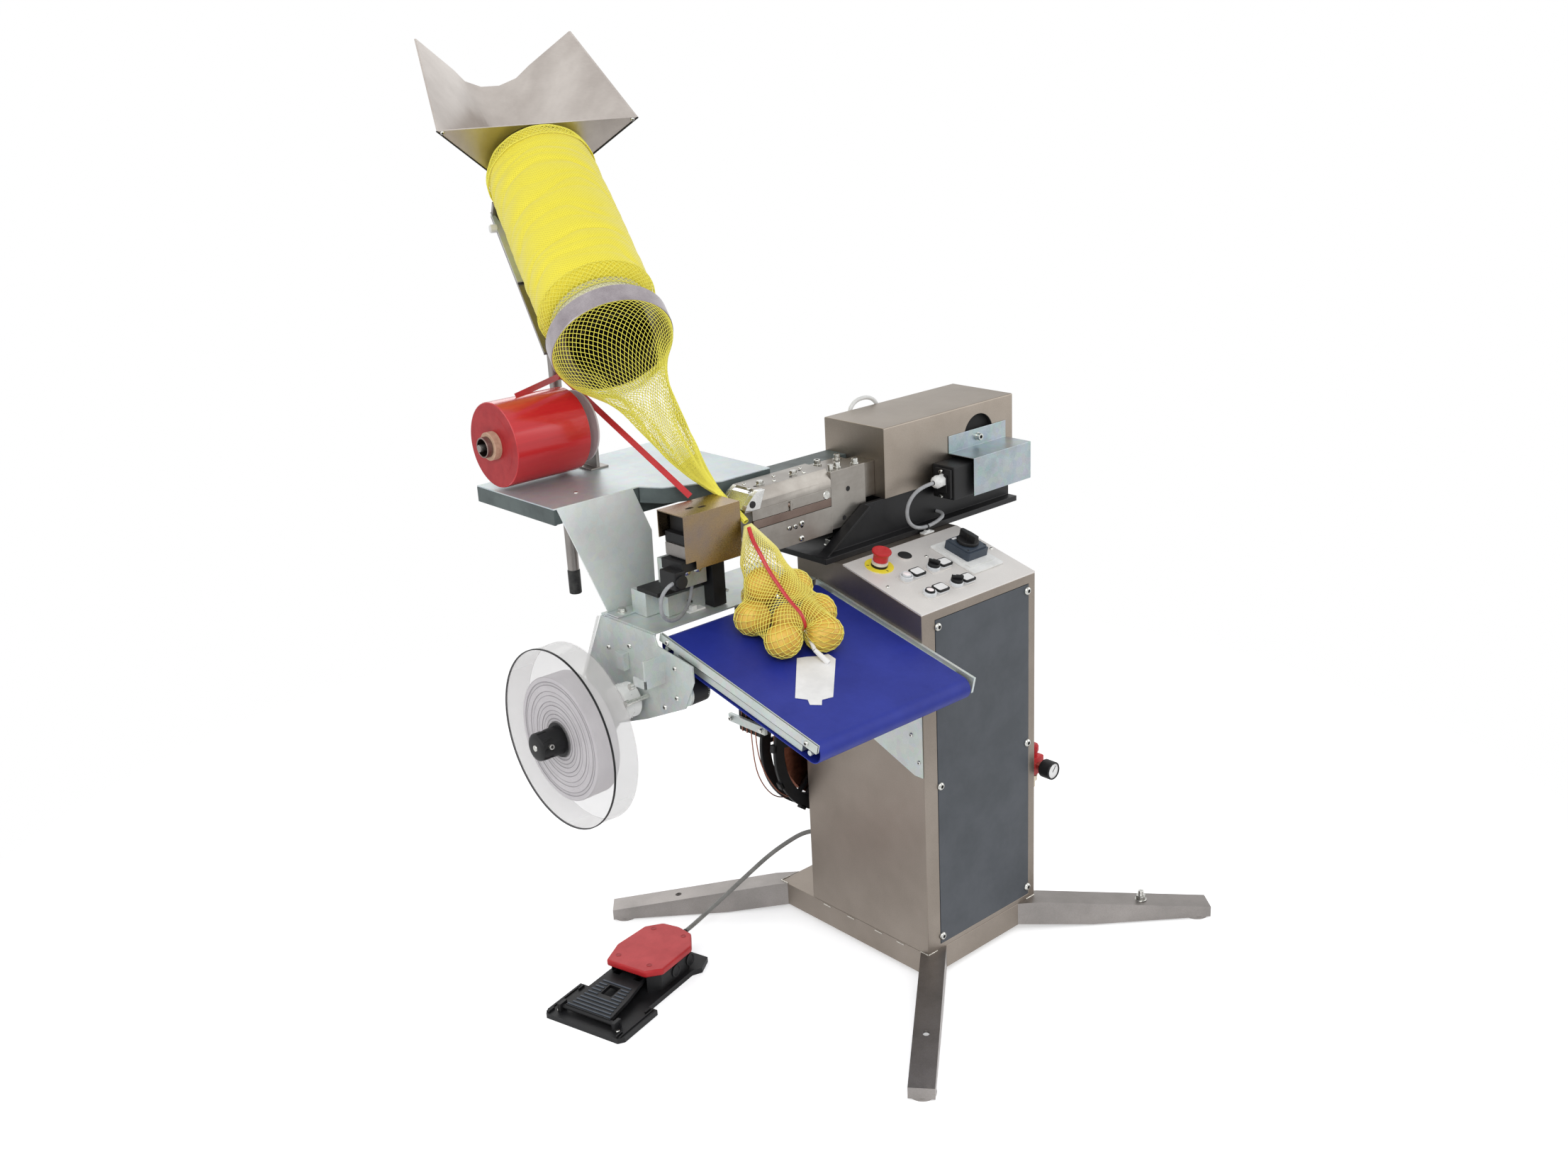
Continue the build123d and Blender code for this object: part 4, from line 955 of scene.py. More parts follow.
@dataclass
class ControlPanel:
    """Sloping control plate with its stop button, buttons, selectors and main switch."""

    buttons: dict[str, Point] = field(
        default_factory=lambda: {
            "lamp_button": (-95, 115),
            "start_button": (-98, 47),
            "selector_left": (-16, 115),
            "selector_right": (-20, 47),
        }
    )
    stop_at: Point = (-109, 178)
    plug_at: Point = (-32, 181)
    switch_at: Point = (88, 118)
    screws: Sequence[Point] = ((-152, 110), (159, 112), (9, 158))

    def at(self, place: Point, lift: float = 0.0) -> Matrix:
        """Return a frame on the plate at (across, up the slope)."""
        return PANEL @ Matrix.Translation((place[0], place[1], lift))

    def legend(self, name: str, place: Point) -> None:
        """Build a button's clear collar and its framed white legend."""
        seat = self.at(place)
        card = self.at((place[0] + 32, place[1] + 1))
        piece = Shape(BEZEL_CLEAR)
        piece.lathe([(10.6, 1), (10.6, 8.2), (13.4, 8.2), (14.2, 7.4), (14.2, 0)], seat, 40)
        outline = self.rounded(30, 26, 5)
        piece.plate(outline, 0.2, 4.0, card, 0.5)
        piece.use(BLACK_NYLON).plate(self.rounded(31, 27, 5), 4.0, 8.2, card, 0.8)
        piece.use(PAPER).plate(self.rounded(26, 20, 4), 8.2, 8.8, card, 0.2)
        piece.build(name + "_legend", "panel_grey")

    def rounded(self, width: float, height: float, radius: float) -> list[Point]:
        """Return a rounded rectangle's outline."""
        points = []
        for sx, sy, start in ((1, 1, 0), (-1, 1, 90), (-1, -1, 180), (1, -1, 270)):
            for k in range(5):
                a = math.radians(start + k * 22.5)
                points.append((sx * (width / 2 - radius) + radius * math.cos(a),
                               sy * (height / 2 - radius) + radius * math.sin(a)))
        return points

    def cap(self, node: str, lens: Finish, rim: Finish) -> None:
        """Build a push button: a ringed cap with a domed lens."""
        seat = self.at(self.buttons[node])
        piece = Shape(rim)
        piece.lathe([(5.9, -20), (5.9, 4.9), (9.7, 4.9), (9.7, 11.4), (9.2, 12), (8.0, 12), (7.8, 11.2)], seat, 40)
        piece.use(lens).lathe([(7.8, 11.2), (6.5, 12.0), (3.5, 12.7), (0, 12.9)], seat, 40)
        slot = SLOT_OF[node]
        piece.build(node + "_cap", slot, node, (node,))

    def selector(self, node: str, turn: float) -> None:
        """Build a selector: a knurled skirt with a raised grip."""
        seat = self.at(self.buttons[node])
        piece = Shape(BLACK_NYLON)
        piece.lathe([(5.9, -20), (5.9, 7), (12.2, 7), (12.5, 8), (12.0, 13.4), (11.2, 14.2), (0, 14.2)], seat, 48)
        for k in range(24):
            ridge = seat @ Matrix.Rotation(math.tau * k / 24, 4, "Z")
            piece.rod((12.1, 0, 8), (11.8, 0, 13.2), 0.55, at=ridge, sides=8, round_off=0.2)
        grip = seat @ Matrix.Rotation(math.radians(turn), 4, "Z")
        piece.block((-3.6, -12.2, 14), (3.6, 12.2, 22), grip, 2.2)
        piece.use(WHITE_PLASTIC).block((-0.7, 4, 21.8), (0.7, 11, 22.3), grip, 0.1)
        piece.build(node + "_knob", SLOT_OF[node], node, (node,))

    def stop(self) -> None:
        """Build the emergency stop: flared red mushroom, dark neck and yellow disc."""
        seat = self.at(self.stop_at)
        disc = Shape(YELLOW_DISC)
        disc.lathe([(8.4, 1.0), (8.4, 2.2), (29.6, 2.2), (30, 1.8), (30, 0.2)], seat, 64)
        disc.use(BLACK_NYLON).lathe([(8.4, 2.2), (8.4, 14), (15.5, 14), (16.8, 12.8), (17.2, 2.2)], seat, 48)
        for k in range(3):
            tick = seat @ Matrix.Rotation(math.tau * k / 3 + 0.5, 4, "Z")
            disc.block((21, -1.0, 2.2), (27, 1.0, 2.45), tick, 0.05)
        disc.build("stop_disc", "panel_grey")
        head = Shape(RED_PLASTIC)
        profile = [(7.9, -22), (7.9, 13), (15.2, 14.5), (15.4, 24), (16.2, 28), (18.6, 31.5), (20.2, 33.5),
                   (20.2, 35.5), (19.2, 37.2), (15.5, 37.9), (9, 37.0), (0, 36.8)]
        head.lathe(profile, seat, 64)
        for k in range(3):
            mark = seat @ Matrix.Rotation(math.tau * k / 3, 4, "Z")
            head.block((9, -1.4, 36.9), (15, 1.4, 38.1), mark, 0.4)
        head.build("stop_head", "red_plastic", "estop_button", ("estop_button",))

    def main_switch(self) -> None:
        """Build the switch's stepped white plate, dark box and turn handle."""
        seat = self.at(self.switch_at)
        box = self.at((self.switch_at[0] + 2, self.switch_at[1] + 6))
        piece = Shape(WHITE_PLASTIC)
        piece.plate(self.rounded(92, 126, 4), 0.2, 4.2, seat, 1.0)
        piece.plate(self.rounded(78, 98, 3), 4.0, 7.0, self.at((self.switch_at[0] + 1, self.switch_at[1] + 4)), 0.8)
        piece.use(SWITCH_GREY).plate(self.rounded(62, 68, 4), 6.8, 24.5, box, 1.0)
        piece.plate(self.rounded(58, 60, 4), 24.3, 28.8, box, 1.2)
        piece.use(BLACK_NYLON).lathe([(6.6, 29.4), (21, 29.4), (22.5, 28.6)], box, 40)
        piece.use(PAPER).block((-20, 22, 28.6), (-8, 27, 29.3), box, 0.1)
        piece.block((6, 22, 28.6), (20, 27, 29.3), box, 0.1)
        for x, y in ((-25, -25), (25, -25), (-25, 25), (25, 25)):
            piece.use(DARK_GAP).lathe([(2.2, 29.0), (0, 29.0)], box @ Matrix.Translation((x, y, 0)), 16)
        piece.build("main_switch_box", "grey_plastic", stands_for=("main_switch",))
        handle = Shape(BLACK_NYLON)
        handle.lathe([(5.9, 14), (5.9, 30.2), (23.2, 30.2), (23.8, 31), (23.4, 35), (22, 36.2), (0, 36.2)], box, 48)
        grip = box @ Matrix.Translation((0, 0, 36))
        blade = [(-6, -22), (6, -22), (7.2, 0), (5, 20), (3, 23), (-3, 23), (-5, 20), (-7.2, 0)]
        handle.plate(blade, -1, 15.5, grip, 2.4)
        handle.build("main_switch_handle", SLOT_OF["switch_handle"], "switch_handle", ("switch_handle",))

    def build(self) -> None:
        """Dress the plate and fit every control."""
        dress("control_panel", PANEL_PAINT, 0.8)
        for name, place in self.buttons.items():
            self.legend(name, place)
        self.cap("lamp_button", LENS_WHITE, BEZEL_CLEAR)
        self.cap("start_button", LENS_WHITE, BLACK_NYLON)
        self.selector("selector_left", 24)
        self.selector("selector_right", 52)
        self.stop()
        self.main_switch()
        small = Shape(BLACK_NYLON)
        small.lathe([(15, 2.8), (14.6, 3.6), (12, 4.2), (0, 4.4)], self.at(self.plug_at), 48)
        small.build("panel_plug", "panel_grey")
        heads = Shape(BOLT_STEEL)
        for place in self.screws:
            heads.screw(self.at(place), 4.2, dome=True)
        heads.build("panel_screws", "panel_grey")


@dataclass
class PressureRegulator:
    """Air regulator on the column's right side: red body, black gauge, nickel fittings."""

    x: float = 196.0
    y: float = -146.0
    z: float = 371.0

    def build(self) -> None:
        """Build the regulator in place of its plain solid."""
        at = Matrix.Translation((self.x, self.y, self.z))
        piece = Shape(BLACK_NYLON)
        piece.block((-26, -21, -30), (-20, 21, 58), at, 1.0)
        piece.use(RED_PLASTIC).block((-20.5, -19, -20), (19, 19, 20), at, 3.0)
        piece.lathe([(0, 46), (11, 46), (14, 44), (14.6, 40), (14.6, 30), (12.5, 27), (12.5, 19)], at, 40)
        for k in range(16):
            ridge = at @ Matrix.Rotation(math.tau * k / 16, 4, "Z")
            piece.block((14, -0.9, 31), (15, 0.9, 42), ridge, 0.3)
        gauge = facing((self.x, self.y - 20, self.z), (0, -1, 0))
        piece.use(NICKEL).lathe([(0, 0), (9, 0), (9, 12), (6, 13), (6, 15)], gauge, 32)
        case = [(6, 13), (19, 14), (20, 16), (20, 40), (18.5, 41.5), (16.5, 41.5), (16.5, 39.5)]
        piece.use(BLACK_NYLON).lathe(case, gauge, 48)
        piece.use(PAPER).lathe([(16.5, 39.2), (0, 39.2)], gauge, 48)
        piece.use(DARK_GAP).block((-0.7, -3, 39.3), (0.7, 12, 39.8), gauge @ Matrix.Rotation(-0.7, 4, "Z"), 0.1)
        drain = [(0, -57), (6, -57), (7.5, -55), (7.5, -42), (10, -40), (12.5, -38), (12.5, -27), (9, -24), (9, -19)]
        piece.use(NICKEL).lathe(drain, at, 32)
        piece.rod((0, 0, -33), (0, 0, -26), 14.2, at=at, sides=6)
        piece.rod((0, 10, -32), (0, 21, -32), 7, at=at, sides=24)
        piece.build("air_regulator", SLOT_OF["pressure_regulator"], stands_for=("pressure_regulator",))


def cord_curve(name: str, route: Sequence[Point], diameter: float, finish: Finish) -> bpy.types.Object:
    """Make a cord as one open spline through its route.

    Args:
        name: The piece's name.
        route: Its control points in millimetres.
        diameter: Its diameter in millimetres.
        finish: Its finish.

    Returns:
        The curve object.
    """
    curve = bpy.data.curves.new(name, "CURVE")
    curve.dimensions = "3D"
    line = curve.splines.new("NURBS")
    line.points.add(len(route) - 1)
    for point, place in zip(line.points, route):
        point.co = (*(TO_FRAME @ Vector(place)), 1.0)
    line.order_u = 3
    line.use_endpoint_u = True
    line.resolution_u = 12
    curve.bevel_depth = diameter / 2 * MM
    curve.bevel_resolution = 4
    curve.use_fill_caps = True
    curve.materials.append(finish.material())
    return stand(name, curve)


def hang_cord(
    name: str, route: Sequence[Point], wide: float, finish: Finish,
    stands_for: Sequence[str] = (),
) -> None:
    """Args:
        name: The piece's name.
        route: Its control points in millimetres, from where it leaves its first end.
        wide: Its diameter in millimetres.
        finish: Its finish.
        stands_for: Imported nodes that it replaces.
    """
    cord = cord_curve(name, route, wide, finish)
    report(cord, "machine", stands_for)


@dataclass
class Clipper:
    """Clipper housing on its black bracket, with the coil cover and the valve's cable."""

    cable: Sequence[Point] = (
        (103, 44, 988), (60, 44, 988), (24, 45, 958), (27, 46, 920), (60, 48, 897), (112, 50, 896), (156, 56, 908),
        (156, 84, 908),
    )
    cable_wide: float = 8.0
    cable_long: float = 0.29
    air: Sequence[Point] = (
        (75, 262, 1060), (78, 266, 1110), (98, 266, 1136), (140, 264, 1138), (166, 263, 1118), (170, 262, 1090),
    )
    air_wide: float = 9.0
    back: float = 254.0
    plate_top: float = 893.0
    bolts: Sequence[Point] = ((-117, 124, 15), (-160, 215, 13), (60, 165, 13), (300, 165, 13))
    throat: Point = (288, 79, 1050)
    throat_radius: float = 45.5
    cover_screw: Point = (283, 77, 1048)
    gland: Point = (141, 44, 988)
    gland_ribs: int = 10

    def bracket(self) -> None:
        """Dress the bracket and bolt it down."""
        dress("clipper_bracket", BLACK_PAINT, 1.2)
        bolts = Shape(BOLT_STEEL)
        for x, y, size in self.bolts:
            bolts.bolt(Matrix.Translation((x, y, self.plate_top)), size)
        bolts.build("bracket_bolts", "black_steel")

    def housing(self) -> None:
        """Dress the housing, with a black throat behind its round opening, painted shade for the inside of the housing.
        """
        dress("clipper_housing", HOUSING_STEEL, 1.4)
        # A black cup behind the opening paints the shade inside the housing.
        inside = Shape(DARK_GAP)
        r = self.throat_radius
        inside.lathe([(r, 0.5), (r, 11), (0, 11)], facing(self.throat, (0, 1, 0)), 48)
        inside.build("housing_throat", "stainless")
        heads = Shape(BOLT_STEEL)
        for z in (986, 1104):
            for y in (96, 238):
                heads.screw(facing((400, y, z), (1, 0, 0)), 5, dome=True)
        heads.build("housing_screws", "stainless")

    def coil(self) -> None:
        """Dress the folded cover and build the valve's coil block."""
        dress("coil_cover", COVER_ZINC, 0.8)
        heads = Shape(BOLT_STEEL)
        x, y, z = self.cover_screw
        heads.screw(facing((x, y - 0.2, z), (0, -1, 0)), 10)
        heads.lathe([(9, 0), (9, 1.5), (5, 1.5)], facing(self.cover_screw, (0, -1, 0)), 32)
        heads.build("cover_screw", "galvanised")
        block = Shape(BLACK_NYLON)
        block.block((140, 18, 945.5), (335, 78.5, 1017.5), round_off=3)
        block.block((133, 22, 950), (141, 66, 1013), round_off=2.5)
        block.block((129, 30, 962), (134, 56, 1000), round_off=1.5)
        for z in (955, 1008):
            block.use(BOLT_STEEL).screw(facing((129.5, 44, z), (-1, 0, 0)), 5)
            block.use(BLACK_NYLON)
        gland = facing(self.gland, (-1, 0, 0))
        block.use(WHITE_PLASTIC)
        block.rod((0, 0, 6), (0, 0, 18), 14.5, at=gland, sides=6, round_off=1.5)
        block.lathe([(12.5, 17), (13, 19), (13, 28), (11, 33), (7, 36), (5, 36.4)], gland, 32)
        for k in range(self.gland_ribs):
            rib = gland @ Matrix.Rotation(math.tau * k / self.gland_ribs, 4, "Z")
            block.block((12.4, -1.2, 19), (13.6, 1.2, 29), rib, 0.4)
        block.build("solenoid_block", SLOT_OF["solenoid"], stands_for=("solenoid",))

    def lead(self) -> None:
        """Hang the valve's cable in its loop, with its tie mount and sleeve."""
        hang_cord(
            "solenoid_lead", self.cable, self.cable_wide, CABLE_GREY,
            ("solenoid_cable",),
        )
        mount = Shape(WHITE_PLASTIC)
        mount.block((74, 43, 881.2), (104, 57, 885), round_off=0.8)
        mount.block((84, 45, 884.5), (94, 55, 888.5), round_off=0.8)
        mount.use(BLACK_NYLON)
        ring = facing((89, 49.4, 895.5), (1, 0.04, 0))
        mount.lathe([(4.3, -1.6), (5.4, -1.6), (5.4, 1.6), (4.3, 1.6), (4.3, -1.6)], ring, 24)
        mount.block((87.4, 47, 886), (90.6, 52, 891.5), round_off=0.3)
        mount.build("lead_mount", "black_steel")

    def hose(self) -> None:
        """Show the pale air hose that bends over behind the housing."""
        hang_cord("air_hose", self.air, self.air_wide, WHITE_PLASTIC)
        ends = Shape(NICKEL)
        for at in (self.air[0], self.air[-1]):
            ends.rod((at[0], self.back, at[2] - 8), (at[0], at[1] + 3, at[2] - 8), 7.5)
            ends.rod((at[0], at[1], at[2] - 10), (at[0], at[1], at[2] + 6), 6.2)
        ends.build("air_hose_ends", "stainless")

    def build(self) -> None:
        """Build the whole clipper body."""
        self.lead()
        self.bracket()
        self.housing()
        self.coil()
        self.hose()


@dataclass
class ClipperArm:
    """Ground bars of the clipper's arm, with their screws and bright nose."""

    front: float = 95.0
    back: float = 170.0
    top: float = 1062.0
    joint_top: float = 1056.0
    front_screws: Sequence[Point] = ((-225, 970, 7), (-227, 939, 7), (-243, 968, 5), (-259, 968, 5))
    front_holes: Sequence[Point] = ((-290, 1012, 4), (-94, 1012, 5.5), (-107, 953, 5))
    joint_screws: Sequence[Point] = ((-106, 112, 9), (-62, 106, 9), (-118, 158, 9), (-62, 158, 9))
    top_bolts: Sequence[Point] = ((-300, 128), (-208, 132))
    top_screws: Sequence[Point] = ((-338, 118), (-322, 150), (-268, 122), (-246, 148), (-190, 120), (-172, 150))
    top_holes: Sequence[Point] = ((-318, 122, 3.5), (-284, 140, 3), (-228, 118, 3), (-184, 140, 3))
    nose_side: Sequence[Point] = (
        (-371, 1029), (-352, 1025.2), (-333, 1025.2), (-318, 1061.6), (-335, 1061.6), (-349, 1054), (-366, 1038),
    )
    nose_face: Sequence[Point] = ((-366, 1036), (-372, 1030), (-352, 1026), (-330, 1060), (-348, 1056))

    def fasteners(self) -> None:
        """Fit the screws and holes on the arm's front and top."""
        face = self.front - 0.2
        heads = Shape(BOLT_STEEL)
        for x, z, size in self.front_screws:
            heads.screw(facing((x, face, z), (0, -1, 0)), size, dome=True)
        heads.lathe([(0, 2), (8, 2), (9, 1), (9, 0)], facing((-155, self.front, 1012), (0, -1, 0)), 32)
        heads.use(STRIP_STEEL).lathe([(0, 6), (3, 6), (6, 4), (8, 0)], facing((-253, face + 3, 1014), (0, -1, 0)), 24)
        heads.use(ARM_STEEL).block((-256, self.front - 4, 1003), (-250, self.front + 2, 1022), round_off=0.8)
        heads.use(DARK_GAP)
        for x, z, r in self.front_holes:
            heads.lathe([(r, 0.25), (0, 0.25)], facing((x, self.front, z), (0, -1, 0)), 24)
        heads.use(BOLT_STEEL)
        for x, y, size in self.joint_screws:
            at = Matrix.Translation((x, y, self.joint_top))
            heads.rod((0, 0, 0), (0, 0, 3), size, at=at)
            heads.screw(at @ Matrix.Translation((0, 0, 3)), size)
        heads.rod((-128, 108, self.joint_top), (-128, 108, self.joint_top + 12), 5.5, sides=24)
        for x, y in self.top_bolts:
            heads.bolt(Matrix.Translation((x, y, self.top)), 8)
        for x, y in self.top_screws:
            heads.screw(Matrix.Translation((x, y, self.top)), 4.5, dome=True)
        heads.use(DARK_GAP)
        for x, y, r in self.top_holes:
            heads.lathe([(r, 0.3), (0, 0.3)], Matrix.Translation((x, y, self.top)), 20)
        heads.build("arm_screws", "machined_steel")

    def nose(self) -> None:
        """Add the bright jaw nose with its pivot."""
        nose = Shape(NOSE_ALLOY)
        for y in (self.front - 1.8, self.back - 12):
            turned = axes((0, y + 12, 0), (1, 0, 0), (0, -1, 0))
            nose.plate(self.nose_side, 0, 12.0 if y > 100 else 13.0, turned, 1.2)
        nose.plate(self.nose_face, -54, 0, axes((0, self.front + 9, 0), (1, 0, 0), (0, -1, 0)), 1.0)
        nose.use(BLACK_NYLON).lathe([(0, 2.2), (6.2, 2.2), (7, 1.4), (7, 0)],
                                    facing((-352, self.front - 2.6, 1038), (0, -1, 0)), 32)
        nose.build("arm_nose", "machined_steel")
        strip = Shape(STRIP_STEEL)
        strip.block((-350, self.front - 0.6, 986), (-142, self.front + 5, 1003), round_off=0.8)
        strip.use(ARM_STEEL).block((-352, self.front - 0.8, 1003.6), (-142, self.front + 5, 1024), round_off=0.8)
        strip.build("arm_strip", "machined_steel")

    def build(self) -> None:
        """Dress the bars and fit the nose and fasteners."""
        for node in ("arm_joint", "arm_lower", "arm_jaw", "arm_upper"):
            dress(node, ARM_STEEL, 1.0)
        self.nose()
        self.fasteners()


@dataclass
class ClippingHead:
    """Clipping head under its heat tinted cover, with its sensor and cable loop."""

    loop: Sequence[Point] = (
        (-538, 104, 928), (-562, 96, 931), (-588, 92, 914), (-588, 96, 880), (-566, 104, 856), (-530, 122, 846),
        (-494, 146, 846), (-470, 158, 858), (-462, 158, 886), (-460, 156, 918),
    )
    loop_wide: float = 7.5
    cover_top: float = 1051.5
    slots: Sequence[Point] = ((-478, 128), (-456, 118))
    slot_half: Point = (8.6, 4.2)

    def build(self) -> None:
        """Build the head's parts under the cover."""
        dress("head_cover", TINTED_STEEL, 0.9)
        body = Shape(BLACK_NYLON)
        body.block((-500, 98, 1011), (-392, 164, 1051), round_off=2)
        body.block((-514, 98, 990), (-472, 164, 1012), round_off=2)
        body.block((-514, 99, 962), (-420, 150, 968), round_off=1)
        body.use(LEG_STEEL).block((-518, 97, 966), (-446, 160, 992), round_off=2)
        body.use(BOLT_STEEL)
        for x, z in ((-498, 976), (-461, 978)):
            body.screw(facing((x, 96.8, z), (0, -1, 0)), 6.5)
        body.rod((-476, 128, 990), (-476, 128, 1002), 7, sides=24)
        body.rod((-476, 128, 1002), (-476, 128, 1008), 9.5, sides=6)
        body.use(BLACK_NYLON).block((-530, 98, 942), (-440, 160, 963), round_off=1.5)
        body.block((-552, 92, 914), (-526, 140, 950), round_off=3)
        body.rod((-538, 100, 930), (-538, 88, 930), 13, sides=32)
        body.use(BOLT_STEEL)
        for x in (-512, -484):
            body.lathe([(0, -3), (8, -2), (10, 2), (10, 6)], Matrix.Translation((x, 110, 937)), 24)
        body.use(PLATE_ZINC).block((-545, 200, 835.3), (-515, 246, 885), round_off=1)
        body.block((-516, 168, 835.3), (-424, 212, 876), round_off=1)
        body.use(BLACK_NYLON).block((-545, 160, 884), (-424, 226, 893), round_off=1)
        body.use(PLATE_ZINC).block((-500, 150, 890), (-430, 214, 944), round_off=1)
        body.use(BLACK_NYLON).block((-424, 140, 836), (-392, 220, 958), round_off=2)
        body.build("head_parts", SLOT_OF["head_body"], stands_for=("head_body",))
        hang_cord("sensor_lead", self.loop, self.loop_wide, CABLE_GREY)
        tie = Shape(WHITE_PLASTIC)
        tie.block((-478, 150, 835.2), (-438, 176, 839.5), round_off=1)
        tie.block((-470, 152, 839), (-458, 164, 848), round_off=1)
        tie.use(BLACK_NYLON)
        tie.lathe([(4.2, -2), (5.6, -2), (5.6, 2), (4.2, 2), (4.2, -2)], facing((-470, 158, 858), (-0.6, -0.2, -1)), 24)
        tie.build("sensor_tie", "galvanised")
        holes = Shape(DARK_GAP)
        long, wide = self.slot_half
        for x, y in self.slots:
            turns = [math.tau * k / 20 for k in range(20)]
            outline = [(x + long * math.cos(a), y + wide * math.sin(a)) for a in turns]
            holes.plate(outline, self.cover_top, self.cover_top + 0.8, HERE, 0)
        holes.build("cover_holes", "bronze_steel")


class DiamondNet:
    """Knitted diamond net laid over a surface given as a function of (round, along)."""

    pull_reach = 110.0
    pull_step = 1.6
    rest_gap = 1.2

    def __init__(self, surface: Callable[[float, float], Vector], around: int, rows: int) -> None:
        """Lay the net's knots on the surface.

        Args:
            surface: Gives a place in millimetres for a turn and a length, each from 0 to 1.
            around: Number of diamonds round the net.
            rows: Number of diamond rows along it.
        """
        self.bm = bmesh.new()
        bmesh.ops.create_grid(self.bm, x_segments=around, y_segments=rows, size=0.5)
        for edge in self.bm.edges:
            edge.seam = True
        bmesh.ops.poke(self.bm, faces=self.bm.faces)
        layer = self.bm.loops.layers.uv.new("net")
        for face in self.bm.faces:
            for loop in face.loops:
                loop[layer].uv = (loop.vert.co.x + 0.5, loop.vert.co.y + 0.5)
        for vert in self.bm.verts:
            vert.co = surface(vert.co.x + 0.5, vert.co.y + 0.5)
        bmesh.ops.remove_doubles(self.bm, verts=self.bm.verts, dist=NET_WELD)
        old = [e for e in self.bm.edges if e.seam and len(e.link_faces) == 2]
        bmesh.ops.dissolve_edges(self.bm, edges=old, use_verts=False, use_face_split=False)

    def relax(self, cores: Sequence["Potato"], rounds: int, floor: Matrix, gap: float, heart: Vector) -> None:
        """Draw the net tight round what it holds.

        Args:
            cores: The potatoes inside it.
            rounds: Number of tightening rounds.
            floor: Frame of the surface that it lies on.
            gap: How far the yarn's middle stays off a potato, in millimetres.
            heart: Middle of the load, which the loose yarn is drawn towards.
        """
        pinned = {v for e in self.bm.edges if e.is_boundary for v in e.verts}
        loose = [v for v in self.bm.verts if v not in pinned]
        back = floor.inverted()
        for _ in range(rounds):
            for vert in loose:
                pull = heart - vert.co
                if pull.length < self.pull_reach:
                    vert.co += pull.normalized() * self.pull_step
            bmesh.ops.smooth_vert(
                self.bm, verts=loose, factor=0.5, use_axis_x=True, use_axis_y=True, use_axis_z=True
            )
            for vert in loose:
                for core in cores:
                    vert.co = core.push(vert.co, gap)
                local = back @ vert.co
                if local.z < self.rest_gap:
                    local.z = self.rest_gap
                    vert.co = floor @ local

    def tree(self) -> BVHTree:
        """Return a search tree of the net's surface."""
        return BVHTree.FromBMesh(self.bm)

    def build(self, name: str, finish: Finish, yarn: float, stands_for: Sequence[str] = ()) -> bpy.types.Object:
        """Turn the laid net into yarn of a thickness in millimetres."""
        piece = stand(name, bake(self.bm, name, [finish], smooth=True))
        wire = piece.modifiers.new("yarn", "WIREFRAME")
        wire.thickness = yarn * MM
        wire.use_even_offset = False
        wire.use_boundary = True
        wire.use_replace = True
        return report(piece, "machine", stands_for)


@dataclass
class Potato:
    """One potato: a lumpy ellipsoid."""

    at: Vector
    radii: Vector
    turn: Matrix

    def push(self, place: Vector, gap: float) -> Vector:
        """Move a place out of the potato if it is inside, and return it."""
        local = self.turn.transposed() @ (place - self.at)
        grown = self.radii + Vector((gap, gap, gap))
        scaled = Vector((local.x / grown.x, local.y / grown.y, local.z / grown.z))
        reach = scaled.length
        if reach >= 1.0 or reach < 1e-6:
            return place
        return self.at + self.turn @ (local / reach)

    def draw(self, shape: Shape) -> None:
        """Add the potato's skin to a shape."""
        put = Matrix.Translation(self.at) @ self.turn.to_4x4() @ Matrix.Diagonal((*self.radii, 1))
        made = bmesh.ops.create_icosphere(shape.bm, subdivisions=4, radius=1.0, matrix=put)
        for vert in made["verts"]:
            away = vert.co - self.at
            lump = noise.noise(vert.co * 0.03) * 1.4 + noise.noise(vert.co * 0.09) * 0.35
            vert.co += away.normalized() * (lump - 0.6)
        shape.settle()


def smooth_path(points: Sequence[Vector], v: float) -> Vector:
    """Return a place on a Catmull-Rom line through the points, for v from 0 to 1."""
    last = len(points) - 1
    at = min(max(v, 0.0), 0.99999) * last
    i = int(at)
    t = at - i
    p = [points[min(max(i + k, 0), last)] for k in (-1, 0, 1, 2)]
    return 0.5 * (
        2 * p[1] + (p[2] - p[0]) * t + (2 * p[0] - 5 * p[1] + 4 * p[2] - p[3]) * t * t
        + (3 * p[1] - 3 * p[2] + p[3] - p[0]) * t * t * t
    )


